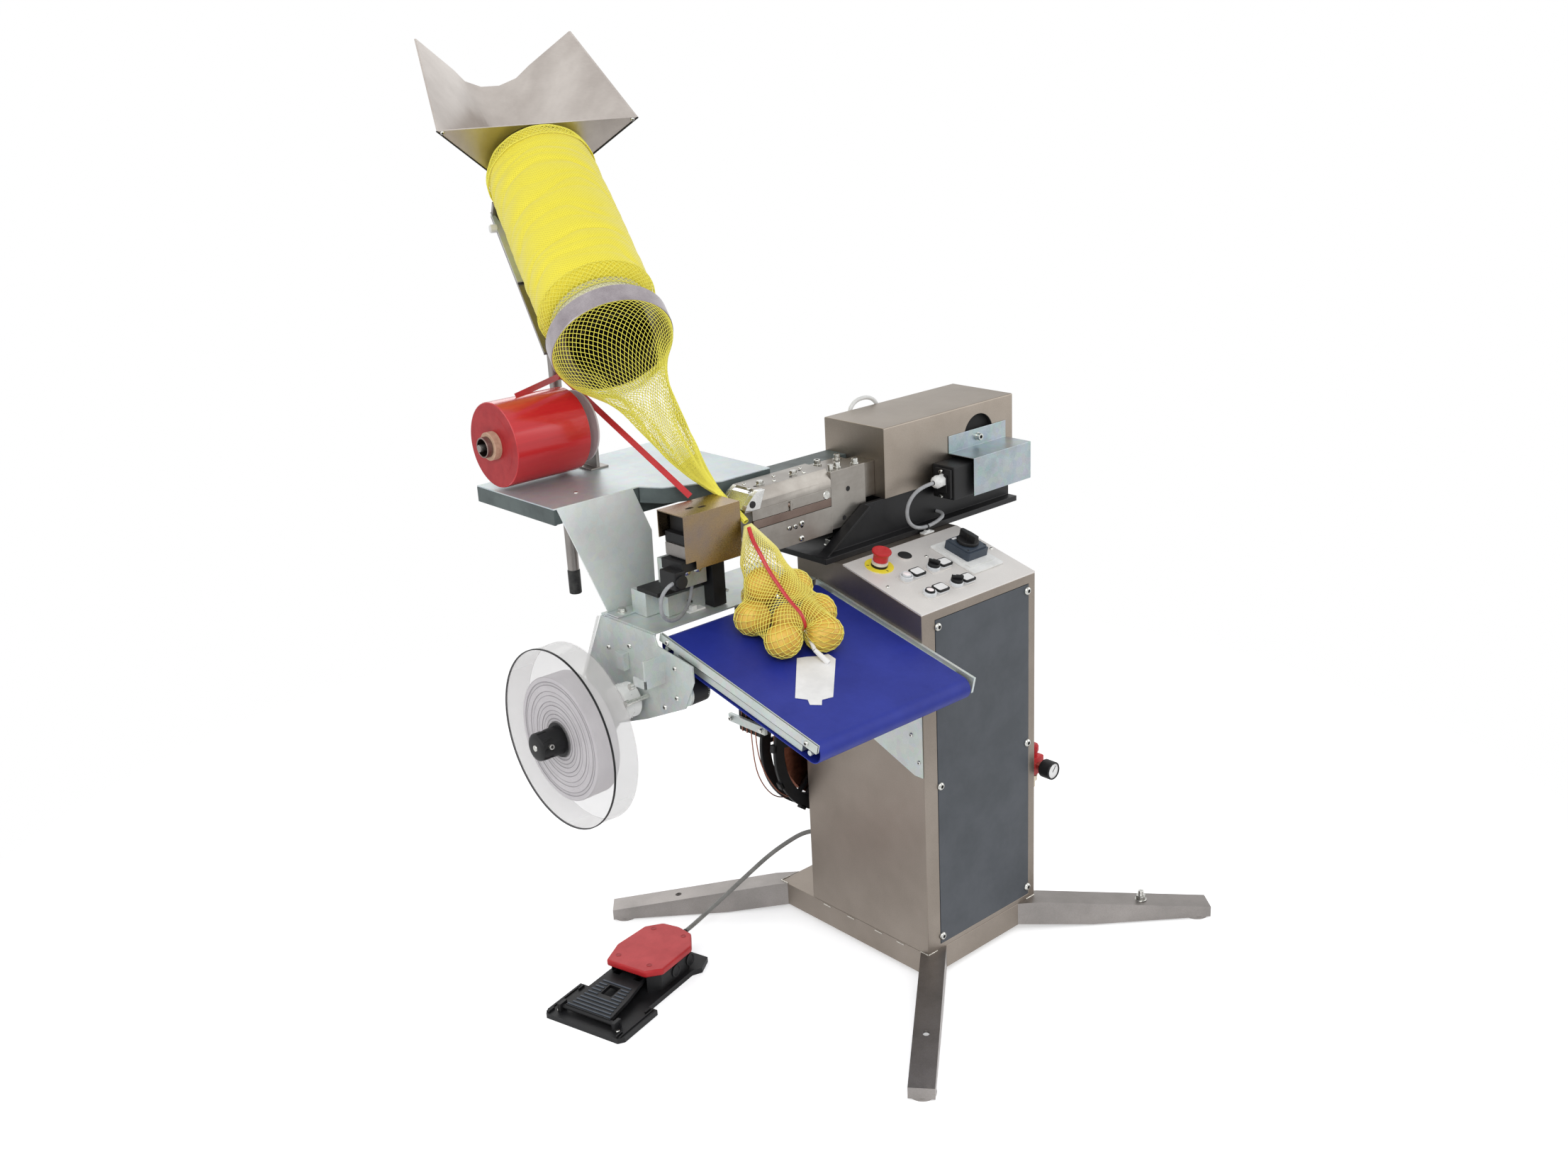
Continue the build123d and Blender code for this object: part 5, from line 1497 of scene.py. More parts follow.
@dataclass
class NetTube:
    """Stainless tube and ring with the gathered net round it, and the net cone below."""

    radius: float = 84.0
    ring: float = 125.0
    ring_long: float = 45.0
    pack_start: float = 88.0
    pack_end: float = 535.0
    pack_radii: Sequence[Point] = ((88, 104), (98, 113), (116, 119), (300, 118.5), (470, 116.5), (515, 112), (535, 104))
    folds: Sequence[Point] = ((62, 3.4, 0.35), (37, 1.7, -0.3))
    core_inset: float = 0.86
    core_start: float = 0.56
    cone_line: Sequence[Point] = (
        (-440, 383, 1329), (-438, 366, 1309), (-435, 338, 1278), (-429, 305, 1238), (-422, 270, 1192),
        (-414, 234, 1146), (-402, 200, 1102), (-388, 178, 1074), (-379, 158, 1055), (-378, 122, 1035), (-378, 84, 1012),
    )
    cone_wide: Sequence[float] = (122.5, 112, 82, 54, 41, 33, 20, 11.5, 6.2, 5.6, 5.2)

    def pack_radius(self, turn: float, t: float) -> float:
        """Return the gathered net's radius at a turn and a place along the tube."""
        a = turn * math.tau
        base = self.pack_radii[-1][1]
        for (t0, r0), (t1, r1) in zip(self.pack_radii, self.pack_radii[1:]):
            if t <= t1:
                base = r0 + (r1 - r0) * (t - t0) / (t1 - t0)
                break
        here = Vector((math.cos(a) * 1.3, math.sin(a) * 1.3, t / 90))
        drift = noise.noise(here) * 1.1 + 0.5 * math.sin(a + 0.7)
        folds = 0.0
        for pitch, depth, lean in self.folds:
            phase = (t / pitch + drift * 0.55 + lean * math.sin(a)) * math.pi
            folds -= depth * (1 - abs(math.sin(phase))) ** 2.2
        soft = noise.noise(Vector((math.cos(a) * 2.4, math.sin(a) * 2.4, t / 34))) * 1.5
        return base + folds + soft

    def pack_place(self, turn: float, v: float) -> Vector:
        """Return a place on the gathered net."""
        t = self.pack_start + (self.pack_end - self.pack_start) * v
        a = turn * math.tau
        r = self.pack_radius(turn, t)
        return TUBE @ Vector((r * math.cos(a), r * math.sin(a), t))

    def magazine(self) -> None:
        """Build the gathered net as one folded, closed sleeve."""
        bm = bmesh.new()
        bmesh.ops.create_grid(bm, x_segments=224, y_segments=150, size=0.5)
        layer = bm.loops.layers.uv.new("net")
        for face in bm.faces:
            face.smooth = True
            for loop in face.loops:
                loop[layer].uv = (loop.vert.co.x + 0.5, loop.vert.co.y + 0.5)
        for vert in bm.verts:
            vert.co = self.pack_place(vert.co.x + 0.5, vert.co.y + 0.5)
        bmesh.ops.remove_doubles(bm, verts=bm.verts, dist=NET_WELD)
        for start, t in ((0, self.pack_start), (1, self.pack_end)):
            rim = [e for e in bm.edges if e.is_boundary and abs((TUBE.inverted() @ e.verts[0].co).z - t) < 1]
            grown = bmesh.ops.extrude_edge_only(bm, edges=rim)
            for item in grown["geom"]:
                if isinstance(item, bmesh.types.BMVert):
                    local = TUBE.inverted() @ item.co
                    flat = Vector((local.x, local.y, 0)).normalized() * (self.radius + 1.0)
                    item.co = TUBE @ Vector((flat.x, flat.y, t + (5 if start == 0 else -5)))
        bmesh.ops.recalc_face_normals(bm, faces=bm.faces)
        piece = stand("net_magazine_folds", bake(bm, "net_magazine_folds", [NET_PACK], smooth=True))
        report(piece, "machine", ("net_magazine",))

    def fringe(self, name: str, finish: Finish, stops: Sequence[Point], around: int, rows: int, yarn: float) -> None:
        """Lay a loose net stretch round the tube, through (place along, radius) stops."""
        line = [Vector((t, r, 0)) for t, r in stops]

        def place(turn: float, v: float) -> Vector:
            """Return a place on the stretch, a little uneven."""
            spot = smooth_path(line, v)
            a = turn * math.tau
            r = spot.y + noise.noise(Vector((math.cos(a) * 3, math.sin(a) * 3, v * 2))) * 1.6
            return TUBE @ Vector((r * math.cos(a), r * math.sin(a), spot.x))

        DiamondNet(place, around, rows).build(name, finish, yarn)

    def cone_place(self, turn: float, v: float) -> Vector:
        """Return a place on the net cone between the ring and the jaws."""
        line = [Vector(p) for p in self.cone_line]
        centre = smooth_path(line, v)
        ahead = (smooth_path(line, min(v + 0.02, 1.0)) - smooth_path(line, max(v - 0.02, 0.0))).normalized()
        mouth = -(TUBE.to_3x3() @ Vector((0, 0, 1)))
        ahead = mouth.lerp(ahead, min(v * 4, 1.0)).normalized()
        side = TUBE.to_3x3() @ Vector((1, 0, 0))
        side = (side - ahead * side.dot(ahead)).normalized()
        down = ahead.cross(side)
        wide = smooth_path([Vector((r, 0, 0)) for r in self.cone_wide], v).x
        a = turn * math.tau
        loose = min(max(v - 0.1, 0.0) * 3, 1.0)
        pleat = 1 + loose * (0.09 * math.sin(a * 5 + v * 9) + 0.06 * math.sin(a * 9 - v * 14))
        return centre + (side * math.cos(a) + down * math.sin(a)) * wide * pleat

    def cone(self) -> None:
        """Build the net cone, and the gathered core of its strand."""
        net = DiamondNet(self.cone_place, 60, 44)
        net.build("net_cone", NET_YARN, 1.6, ("net_sleeve",))
        # The core sits inside the cone's yarn; its darker slits paint the shade between the strands.
        core = Shape(STRAND_PACK_SLIT_SHADE)
        layer = core.bm.loops.layers.uv.new("net")
        made = bmesh.ops.create_grid(core.bm, x_segments=28, y_segments=40, size=0.5)
        for vert in made["verts"]:
            turn, v = vert.co.x + 0.5, self.core_start + (1 - self.core_start) * (vert.co.y + 0.5)
            centre = smooth_path([Vector(p) for p in self.cone_line], v)
            for loop in vert.link_loops:
                loop[layer].uv = (turn, v)
            vert.co = centre + (self.cone_place(turn, v) - centre) * self.core_inset
        bmesh.ops.remove_doubles(core.bm, verts=core.bm.verts, dist=NET_WELD)
        core.settle()
        core.build("net_cone_core", "net_yellow", even=False)

    def tube(self) -> None:
        """Dress the tube and build the spun ring."""
        # The tube takes the darkened steel, painted shade for the inside of its bore.
        dress("net_tube", SHADED_TUBE_STEEL, 0.6, 1)
        ring = Shape(RING_STEEL)
        r, long = self.ring, self.ring_long
        ring.lathe(
            [(self.radius + 0.4, long), (r - 6, long), (r - 2, long - 1.5), (r, long - 5), (r, 3), (r - 0.8, 0.6),
             (r - 2.2, 0.2), (r - 3.2, 1.2), (r - 3.2, long - 5), (r - 6, long - 3.4), (self.radius + 0.4, long - 3.4),
             (self.radius + 0.4, long)],
            TUBE, 96,
        )
        ring.build("net_ring_spun", "stainless", stands_for=("net_ring",))

    def build(self) -> None:
        """Build the tube, the gathered net, its loose ends and the cone."""
        self.tube()
        self.magazine()
        self.fringe("net_pack_lower", NET_YARN, ((112, 121), (96, 118), (84, 110), (74, 103)), 60, 5, 1.9)
        self.fringe("net_pack_upper", NET_YARN, ((500, 117), (522, 114), (538, 105), (546, 96)), 84, 6, 1.9)
        self.fringe("net_neck_mesh", PALE_YARN, ((96, 101), (80, 100), (62, 99), (46, 98)), 64, 7, 1.6)
        sleeve = Shape(PALE_PACK)
        layer = sleeve.bm.loops.layers.uv.new("net")
        sleeve.lathe([(90, 46.5), (95.5, 47), (96, 60), (98, 80), (101, 98)], TUBE, 96)
        for face in sleeve.bm.faces:
            for loop in face.loops:
                local = TUBE.inverted() @ loop.vert.co
                loop[layer].uv = ((math.atan2(local.y, local.x) / math.tau) % 1.0, (local.z - 46) / 52)
        sleeve.build("net_neck_layers", "net_yellow", even=False)
        self.cone()


@dataclass
class Hopper:
    """Folded stainless trough with its flat V plate in front."""

    start: float = 550.0
    tube: float = 84.0
    lip: float = 98.0
    fold: Point = (88.8, 30)

    def build(self) -> None:
        """Dress the trough, and add its dark joint line and lip screws."""
        dress("hopper", HOPPER_STEEL, 0.8)
        half = math.sqrt(2) * self.tube + self.lip
        joint = Shape(DARK_GAP)
        x, y = self.fold
        level = self.start - 0.6
        joint.rod((-half, -self.lip, level), (-x, y, level), 1.5, at=TUBE, sides=8, round_off=0)
        joint.rod((x, y, level), (half, -self.lip, level), 1.5, at=TUBE, sides=8, round_off=0)
        joint.build("hopper_joint", "stainless")
        heads = Shape(BOLT_STEEL)
        up = TUBE.to_3x3() @ Vector((0, 0, -1))
        for x in (-half + 12, half - 12):
            at = TUBE @ Vector((x, -self.lip + 5, self.start - 0.2))
            heads.screw(facing(at, up), 5, dome=True)
        heads.build("hopper_screws", "stainless")


@dataclass
class Mast:
    """Tube mast behind the table with the net tube's carrier."""

    x: float = -446.0
    y: float = 590.0
    gusset: Sequence[Point] = ((-92, 330), (-92, 548), (-86, 548), (-60, 420), (-60, 330))

    def build(self) -> None:
        """Dress the mast and cap its lower end."""
        dress("mast", LEG_STEEL, 0.8)
        end = Shape(RUBBER)
        end.lathe([(0, 770.2), (12.4, 770.2), (13.4, 771.4), (13.6, 822), (12.6, 824)],
                  Matrix.Translation((self.x, self.y, 0)), 32)
        end.build("mast_sleeve", "stainless")
        knob = Shape(WHITE_PLASTIC)
        seat = TUBE @ Matrix.Translation((-90, 132, 500))
        turned = seat @ Matrix.Rotation(-math.pi / 2, 4, "Y")
        knob.lathe([(0, 0), (8, 0), (9, 2), (9, 14), (7, 16), (0, 16)], turned, 24)
        upright = TUBE @ Matrix.Rotation(math.pi / 2, 4, "X") @ Matrix.Diagonal((1, 1, -1, 1))
        knob.use(PLATE_ZINC).plate(self.gusset, 128, 131, upright, 0.6)
        knob.build("carrier_plate", "stainless")


@dataclass
class FilledBag:
    """Net bag of potatoes on the belt, with the red tape and the white tag."""

    neck: Point = (-378, 79, 1006)
    waist: Point = (-376, 50, 945)
    heart: Point = (-372, -8, 856)
    knot: Point = (-381, -74, 826)
    around: int = 36
    rows: int = 31
    spots: Sequence[Point] = (
        (-428, 20, 845), (-432, -69, 822), (-350, -92, 818), (-311, -36, 838), (-392, 28, 902), (-320, 20, 878),
        (-374, -20, 836), (-362, 76, 856),
    )
    sizes: Sequence[Point] = (
        (36, 34, 33), (38, 34, 33), (38, 34, 33), (34, 37, 33), (36, 33, 33), (35, 34, 33), (33, 32, 32), (36, 33, 33),
    )
    tape: Sequence[Point] = (
        (-384, 70, 1006), (-392, 46, 975), (-394, 14, 938), (-393, -12, 905), (-391, -38, 878), (-388, -58, 856),
        (-385, -72, 840), (-381, -80, 828),
    )
    tape_thick: float = 0.5
    tape_side: Point = (-0.6, -0.72, 0.34)
    tag_outline: Sequence[Point] = (
        (-352, -104), (-352, -124), (-446, -214), (-470, -210), (-482, -222), (-500, -210),
        (-492, -196), (-508, -180), (-414, -84), (-394, -90), (-378, -98),
    )
    belt_foot: float = 116.0

    def potatoes(self) -> list[Potato]:
        """Return the potatoes, each lifted clear of the belt."""
        rng = random.Random(11)
        made = []
        for spot, radii in zip(self.spots, self.sizes):
            local = BELT.inverted() @ Vector(spot)
            local.z = max(local.z, radii[2] + 2.0)
            spin = Matrix.Rotation(rng.uniform(-0.5, 0.5), 3, "Z") @ Matrix.Rotation(rng.uniform(-0.2, 0.2), 3, "X")
            made.append(Potato(BELT @ local, Vector(radii), spin))
        return made

    def skin(self, cores: Sequence[Potato]) -> BVHTree:
        """Return the taut hull round the potatoes and the neck."""
        hull = bmesh.new()
        for core in cores:
            put = Matrix.Translation(core.at) @ core.turn.to_4x4() @ Matrix.Diagonal((*(core.radii * 1.05), 1))
            bmesh.ops.create_icosphere(hull, subdivisions=3, radius=1.0, matrix=put)
        bmesh.ops.create_icosphere(hull, subdivisions=2, radius=7.0, matrix=Matrix.Translation(self.neck))
        done = bmesh.ops.convex_hull(hull, input=hull.verts)
        spare = {g for g in [*done["geom_interior"], *done["geom_unused"]] if isinstance(g, bmesh.types.BMVert)}
        bmesh.ops.delete(hull, geom=list(spare), context="VERTS")
        tree = BVHTree.FromBMesh(hull)
        hull.free()
        return tree

    def bag_place(self, hull: BVHTree, turn: float, v: float) -> Vector:
        """Return a place on the bag: rings down the neck, then rings round its heart to the knot."""
        neck, waist, heart, knot = (Vector(p) for p in (self.neck, self.waist, self.heart, self.knot))
        axis = (knot - heart).normalized()
        side = Vector((1, 0, 0.12)).normalized()
        side = (side - axis * side.dot(axis)).normalized()
        up = side.cross(axis)
        if up.z < 0:
            up = -up
        a = turn * math.tau
        radial = side * math.cos(a) + up * math.sin(a)
        if v < 0.3:
            share = v / 0.3
            centre = neck.lerp(waist, share)
            ahead = (waist - neck).normalized().lerp((heart - waist).normalized(), share).normalized()
            fan = Vector((0, 0, 0))
        else:
            share = (v - 0.3) / 0.7
            centre = waist.lerp(heart, min(share * 2.2, 1.0))
            ahead = (heart - waist).normalized().lerp(axis, min(share * 1.6, 1.0)).normalized()
            fan = ahead * math.tan(math.radians(86) * max(0.0, (share - 0.42) / 0.58))
        flat = (radial - ahead * radial.dot(ahead)).normalized()
        way = (flat + fan).normalized()
        hit = hull.ray_cast(centre, way)[0]
        spot = hit if hit is not None else centre + way * 6
        close = max(0.0, (v - 0.9) / 0.1)
        return spot.lerp(knot + flat * 5, close * close * (3 - 2 * close))

    def band(self, net: BVHTree) -> bmesh.types.BMesh:
        """Lay the red tape over the bag as a narrow strip."""
        strip = bmesh.new()
        bmesh.ops.create_grid(strip, x_segments=2, y_segments=60, size=0.5)
        line = [Vector(p) for p in self.tape]
        front = Vector(self.tape_side)
        for vert in strip.verts:
            across, v = vert.co.x, vert.co.y + 0.5
            centre = smooth_path(line, v)
            near, out, _, _ = net.find_nearest(centre)
            out = -out if out.dot(front) < 0 else out
            out = out.lerp(front, 0.5).normalized()
            ahead = (smooth_path(line, min(v + 0.03, 1)) - smooth_path(line, max(v - 0.03, 0))).normalized()
            side = ahead.cross(out).normalized()
            vert.co = near + out * (5 + 2 * v) + side * across * (14 - 3 * v)
        for _ in range(4):
            bmesh.ops.smooth_vert(
                strip, verts=strip.verts, factor=0.4, use_axis_x=True, use_axis_y=True, use_axis_z=True
            )
        return strip

    def build(self) -> None:
        """Build the potatoes, the tightened net, the tape and the tag."""
        cores = self.potatoes()
        skins = Shape(POTATO)
        for core in cores:
            core.draw(skins)
        skins.build("potatoes", "net_yellow", even=False)
        hull = self.skin(cores)
        net = DiamondNet(lambda turn, v: self.bag_place(hull, turn, v), self.around, self.rows)
        net.relax(cores, 9, BELT, 1.8, Vector(self.heart))
        strip = self.band(net.tree())
        net.build("bag_net", BAG_YARN, 2.2, ("net_bag",))
        tape = stand("bag_tape", bake(strip, "bag_tape", [RED_TAPE], smooth=True))
        thick = tape.modifiers.new("thickness", "SOLIDIFY")
        thick.thickness = self.tape_thick * MM
        report(tape, "machine")
        self.tag()

    def tag(self) -> None:
        """Build the white paper tag that lies on the belt, curled a little."""
        paper = Shape(PAPER)
        flat = [(x, (y - self.belt_foot) / math.cos(TILT)) for x, y in self.tag_outline]
        paper.plate(flat, 0.6, 1.4, BELT, 0)
        paper.rod((-381, -79, 827), (-388, -106, 800), 3.2, tip=4.2, sides=16)
        paper.rod((-388, -106, 800), (-376, -130, 776), 4.2, tip=6.0, sides=16)
        paper.use(BOLT_STEEL).rod((-386, -76, 829), (-375, -80, 829), 3.0, sides=16)
        paper.build("bag_label", "white_plastic", stands_for=("bag_tag",))


@dataclass
class Conveyor:
    """Short blue belt on its galvanised frame."""

    left: float = -572.0
    right: float = -184.0
    long: float = 445.0

    def build(self) -> None:
        """Dress the belt and frame, and add the rails and end bearings."""
        dress("conveyor_belt", BELT_BLUE, 0.6, 1)
        rail = Shape(PLATE_ZINC)
        for x0, x1, deep in (
            (self.left - 9.2, self.left - 6.6, -13), (self.left - 4.6, self.left - 2.2, -13),
            (self.right + 8, self.right + 13.8, -30),
        ):
            rail.block((x0, -self.long + 4, deep), (x1, -2, 3.2), BELT, 0.6)
        rail.block((self.left + 4, -self.long + 50, -40), (self.right + 12, -50, -5), BELT, 1.0)
        rail.block((self.left - 9, -60, -40), (self.right + 12, -46, -8), BELT, 1.0)
        for across in (-22, -self.long + 22):
            rail.rod((self.left - 6, across, -22), (self.right + 13, across, -22), 5.0, at=BELT, sides=24)
        rail.use(DARK_GAP).block((self.left - 6.8, -self.long + 5, -12), (self.left - 4.4, -3, 1.4), BELT, 0)
        rail.block((self.left - 2.4, -self.long + 24, -20), (self.left + 1, -24, -3), BELT, 0)
        rail.use(BOLT_STEEL)
        for along in (-26, -self.long + 30):
            rail.screw(facing(BELT @ Vector((self.left - 9.2, along, -5)), (-1, 0, 0)), 6, dome=True)
        rail.build("conveyor_rails", SLOT_OF["conveyor_frame"], stands_for=("conveyor_frame",))


@dataclass
class Table:
    """Galvanised table with its folded guard, painted tray and rear plate."""

    # Faces below this height take the lighter zinc copy, painted light on the guard.
    under: float = 1066.0

    def build(self) -> None:
        """Dress the sheets and fit the plate's bolts."""
        sheet = dress("table_sheet", TABLE_ZINC, 1.0)
        # The guard's faces get the lighter copy of the same zinc: painted light.
        sheet.data.materials.append(LIT_GUARD_ZINC.material())
        for face in sheet.data.polygons:
            face.material_index = 1 if face.center.z < self.under * MM else 0
        dress("table_frame", TRAY_PAINT, 1.0)
        dress("rear_plate", PLATE_ZINC, 0.8)
        fit = Shape(PLATE_ZINC)
        fit.block((-586, 238, 835.2), (-530, 276, 838.4), round_off=0.8)
        fit.use(BOLT_STEEL).bolt(Matrix.Translation((-562, 258, 838.4)), 9)
        fit.screw(Matrix.Translation((-402, 190, 835)), 6, dome=True)
        fit.screw(Matrix.Translation((-340, 205, 835)), 6, dome=True)
        for y, z in ((132, 826), (276, 826)):
            fit.screw(facing((-588.2, y, z), (-1, 0, 0)), 7, dome=True)
        fit.lathe([(0, 1.4), (4, 1.4), (4.5, 0)], Matrix.Translation((-585, 345, 1070)), 16)
        fit.build("table_fittings", SLOT_OF["rear_plate"])


@dataclass
class LabelUnit:
    """Label roll between clear discs, its feed wheel, side plate and motor."""

    axis_y: float = 310.0
    axis_z: float = 596.0
    radius: float = 187.0
    left: float = -705.0
    right: float = -645.0
    roll: float = 128.0
    wheel: Point = (196.0, 684.0)
    rings: Sequence[float] = (44, 52, 60, 70, 78, 90, 99, 112, 119)
    hub_ribs: int = 8
    pins: int = 28
    face: float = -592.0
    plate_screws: Sequence[Point] = ((60, 780), (60, 720), (100, 690), (240, 650), (270, 770), (200, 790))
    rollers: Sequence[Point] = ((132, 740), (150, 700))

    def reel(self) -> None:
        """Build the reel: clear discs, wound labels and the black hub knob."""
        at = facing((self.left, self.axis_y, self.axis_z), (1, 0, 0))
        width = self.right - self.left
        clear = Shape(CLEAR_DISC)
        for low in (0.0, width - 3):
            disc_edge = self.radius - 1
            disc = [(9, low), (disc_edge, low), (disc_edge, low + 2.6), (9, low + 2.6), (9, low)]
            clear.lathe(disc, at, 96)
        clear.build("label_discs", SLOT_OF["label_reel"], "label_reel", ("label_reel",))
        edge = Shape(BLACK_NYLON)
        r = self.radius
        edge.lathe([(r - 2, -0.4), (r, -0.4), (r, 3.2), (r - 2, 3.2), (r - 2, -0.4)], at, 96)
        hub = [(9, -54), (20, -54), (26, -52), (28, -49), (28, -26), (29, -22), (29, -0.5), (36, -0.4), (36, 3)]
        edge.lathe(hub, at, 48)
        edge.lathe([(0, -54), (9, -54)], at, 32)
        edge.use(BOLT_STEEL).lathe([(0, -55), (6, -55), (7, -53)], at, 24)
        edge.screw(facing((self.left - 36, self.axis_y - 27.5, self.axis_z + 6), (0, -1, 0.2)), 7)
        edge.use(BLACK_NYLON)
        for k in range(self.hub_ribs):
            rib = at @ Matrix.Rotation(math.tau * k / self.hub_ribs, 4, "Z")
            edge.block((27, -3, -48), (29.4, 3, -27), rib, 0.8)
        edge.build("label_hub", SLOT_OF["label_reel"], "label_reel")
        wound = Shape(LABEL_EDGE)
        profile = [(38, 4)]
        for k, ring in enumerate((*self.rings, self.roll)):
            low, high = (4.3, 3.4) if k % 2 == 0 else (3.4, 4.3)
            profile += [(ring - 0.7, low), (ring, 5.6), (ring + 0.7, high)]
        wound.lathe([*profile, (self.roll, width - 4), (38, width - 4)], at, 96)
        wound.use(LABEL_GAP)
        for ring in self.rings:
            wound.lathe([(ring - 0.6 - ring % 3 * 0.5, 3.3), (ring + 0.6, 3.3)], at, 96)
        wound.build("label_roll", SLOT_OF["label_reel"], "label_reel")
        rim = Shape(CLEAR_RIM)
        rim.lathe([(self.radius - 3, 3), (self.radius - 1.4, 3), (self.radius - 1.4, width - 3),
                   (self.radius - 3, width - 3), (self.radius - 3, 3)], at, 96)
        rim.build("label_rim", SLOT_OF["label_reel"], "label_reel")

    def feed(self) -> None:
        """Build the white feed wheel with its row of pins."""
        at = facing((-590 - 48, *self.wheel), (1, 0, 0))
        piece = Shape(WHITE_PLASTIC)
        piece.lathe([(6.5, 0.6), (33.5, 0.6), (35, 2), (35, 36), (33.5, 37.6), (6.5, 37.6), (6.5, 0.6)], at, 64)
        for k in range(self.pins):
            pin = at @ Matrix.Rotation(math.tau * k / self.pins, 4, "Z")
            piece.rod((34.5, 0, 19), (36.6, 0, 19), 1.3, at=pin, sides=10, round_off=0.3)
        piece.use(DARK_GAP).lathe([(3, 0.2), (6.4, 0.2)], at, 24)
        piece.build("feed_wheel_drum", SLOT_OF["feed_wheel"], "feed_wheel", ("feed_wheel",))

    def frame(self) -> None:
        """Dress the side plate and add the motor, rollers and label strip."""
        dress("label_frame", PLATE_ZINC, 0.8)
        unit = Shape(BLACK_NYLON)
        unit.lathe([(0, 46), (24, 46), (26, 44), (26.6, 6), (22, 4), (22, 2)], facing((-588, 45, 733), (1, 0, 0)), 40)
        unit.use(LEG_STEEL).block((-588, 70, 705), (-556, 120, 780), round_off=2)
        unit.use(PLATE_ZINC).block((-640, 92, 742), (-588, 96, 800), round_off=0.8)
        unit.block((-640, 92, 742), (-636, 130, 760), round_off=0.8)
        unit.use(BOLT_STEEL)
        for y, z in self.rollers:
            unit.rod((-644, y, z), (self.face, y, z), 4.5, sides=24)
            unit.rod((-648, y, z), (-640, y, z), 6.5, sides=24)
        for y, z in self.plate_screws:
            unit.screw(facing((self.face, y, z), (-1, 0, 0)), 6, dome=True)
        unit.use(PLATE_ZINC).block((-606, 205, 740), (self.face, 232, 775), round_off=1)
        unit.build("label_drive", SLOT_OF["label_frame"])
        strip = Shape(CLEAR_RIM)
        strip.plate([(289, 832), (291, 832), (362, 684), (360, 684)], -600, -594,
                    Matrix(((0, 0, 1, 0), (1, 0, 0, 0), (0, 1, 0, 0), (0, 0, 0, 1))), 0)
        strip.build("label_web", SLOT_OF["label_frame"])

    def build(self) -> None:
        """Build the reel, the feed wheel and the frame's parts."""
        self.frame()
        self.feed()
        self.reel()


@dataclass
class RibbonReel:
    """Roll of red film on its spindle, with the tape that runs to the jaws."""

    axis: Point = (484.0, 1161.0)
    radius: float = 85.0
    tape: Sequence[Point] = ((-612, 482, 1247.2), (-446, 566, 1250), (-434, 180, 1058))
    tape_faces: Point = (-0.54, -0.82, 0.21)
    tape_half: float = 6.0

    def build(self) -> None:
        """Build the roll, its tube and disc, the stand and the tape."""
        at = facing((-700, *self.axis), (1, 0, 0))
        r = self.radius
        roll = Shape(RED_FILM)
        wound = [(r - 2, 28.6), (r - 0.4, 29.6), (r, 31), (r - 0.3, 90), (r, 140), (r - 0.2, 198), (r - 1.6, 200)]
        roll.lathe(wound, at, 96)
        roll.use(RED_EDGE_AND_RECESS_SHADE).lathe([(28, 29.4), (40, 28.4), (41, 29.0), (62, 28.2), (63, 28.8), (r - 2, 28.6)], at, 96)
        roll.lathe([(24, 200), (r - 1.6, 200)], at, 64)
        roll.use(TUBE_BRONZE).lathe([(17.5, 60), (17.5, 2), (18.6, 1.4), (20, 1.8), (20.6, 3), (20.6, 29.6)], at, 64)
        roll.use(CARD).lathe([(20.6, 14), (27, 14), (28, 15), (28, 29.6)], at, 64)
        roll.lathe([(24, 199), (24, 226), (18, 226)], at, 48)
        roll.use(DARK_GAP).lathe([(8, 40), (17.4, 40)], at, 40)
        roll.use(BOARD).lathe([(20, 226), (72.5, 226), (73, 227), (73, 229.4), (72, 230), (20, 230)], at, 96)
        roll.build("film_roll", "red_ribbon", "ribbon_reel", ("ribbon_reel",))
        dress("ribbon_stand", LEG_STEEL, 0.8)
        strip = Shape(RED_TAPE)
        a, b, c = (Vector(p) for p in self.tape)
        for start, end in ((a, b), (b, c)):
            run = end - start
            side = run.cross(Vector(self.tape_faces)).normalized() * self.tape_half
            up = side.cross(run).normalized() * 0.4
            corners = [start - side - up, start + side - up, end + side - up, end - side - up]
            verts = [strip.bm.verts.new(p) for p in corners]
            face = strip.bm.faces.new(verts)
            grown = bmesh.ops.extrude_face_region(strip.bm, geom=[face])
            moved = [g for g in grown["geom"] if isinstance(g, bmesh.types.BMVert)]
            bmesh.ops.translate(strip.bm, verts=moved, vec=up * 2)
            bmesh.ops.recalc_face_normals(strip.bm, faces=[f for f in strip.bm.faces if not f[strip.done]])
            strip.settle(False)
        strip.build("red_tape_run", "red_ribbon", stands_for=("ribbon_tape",), even=False)


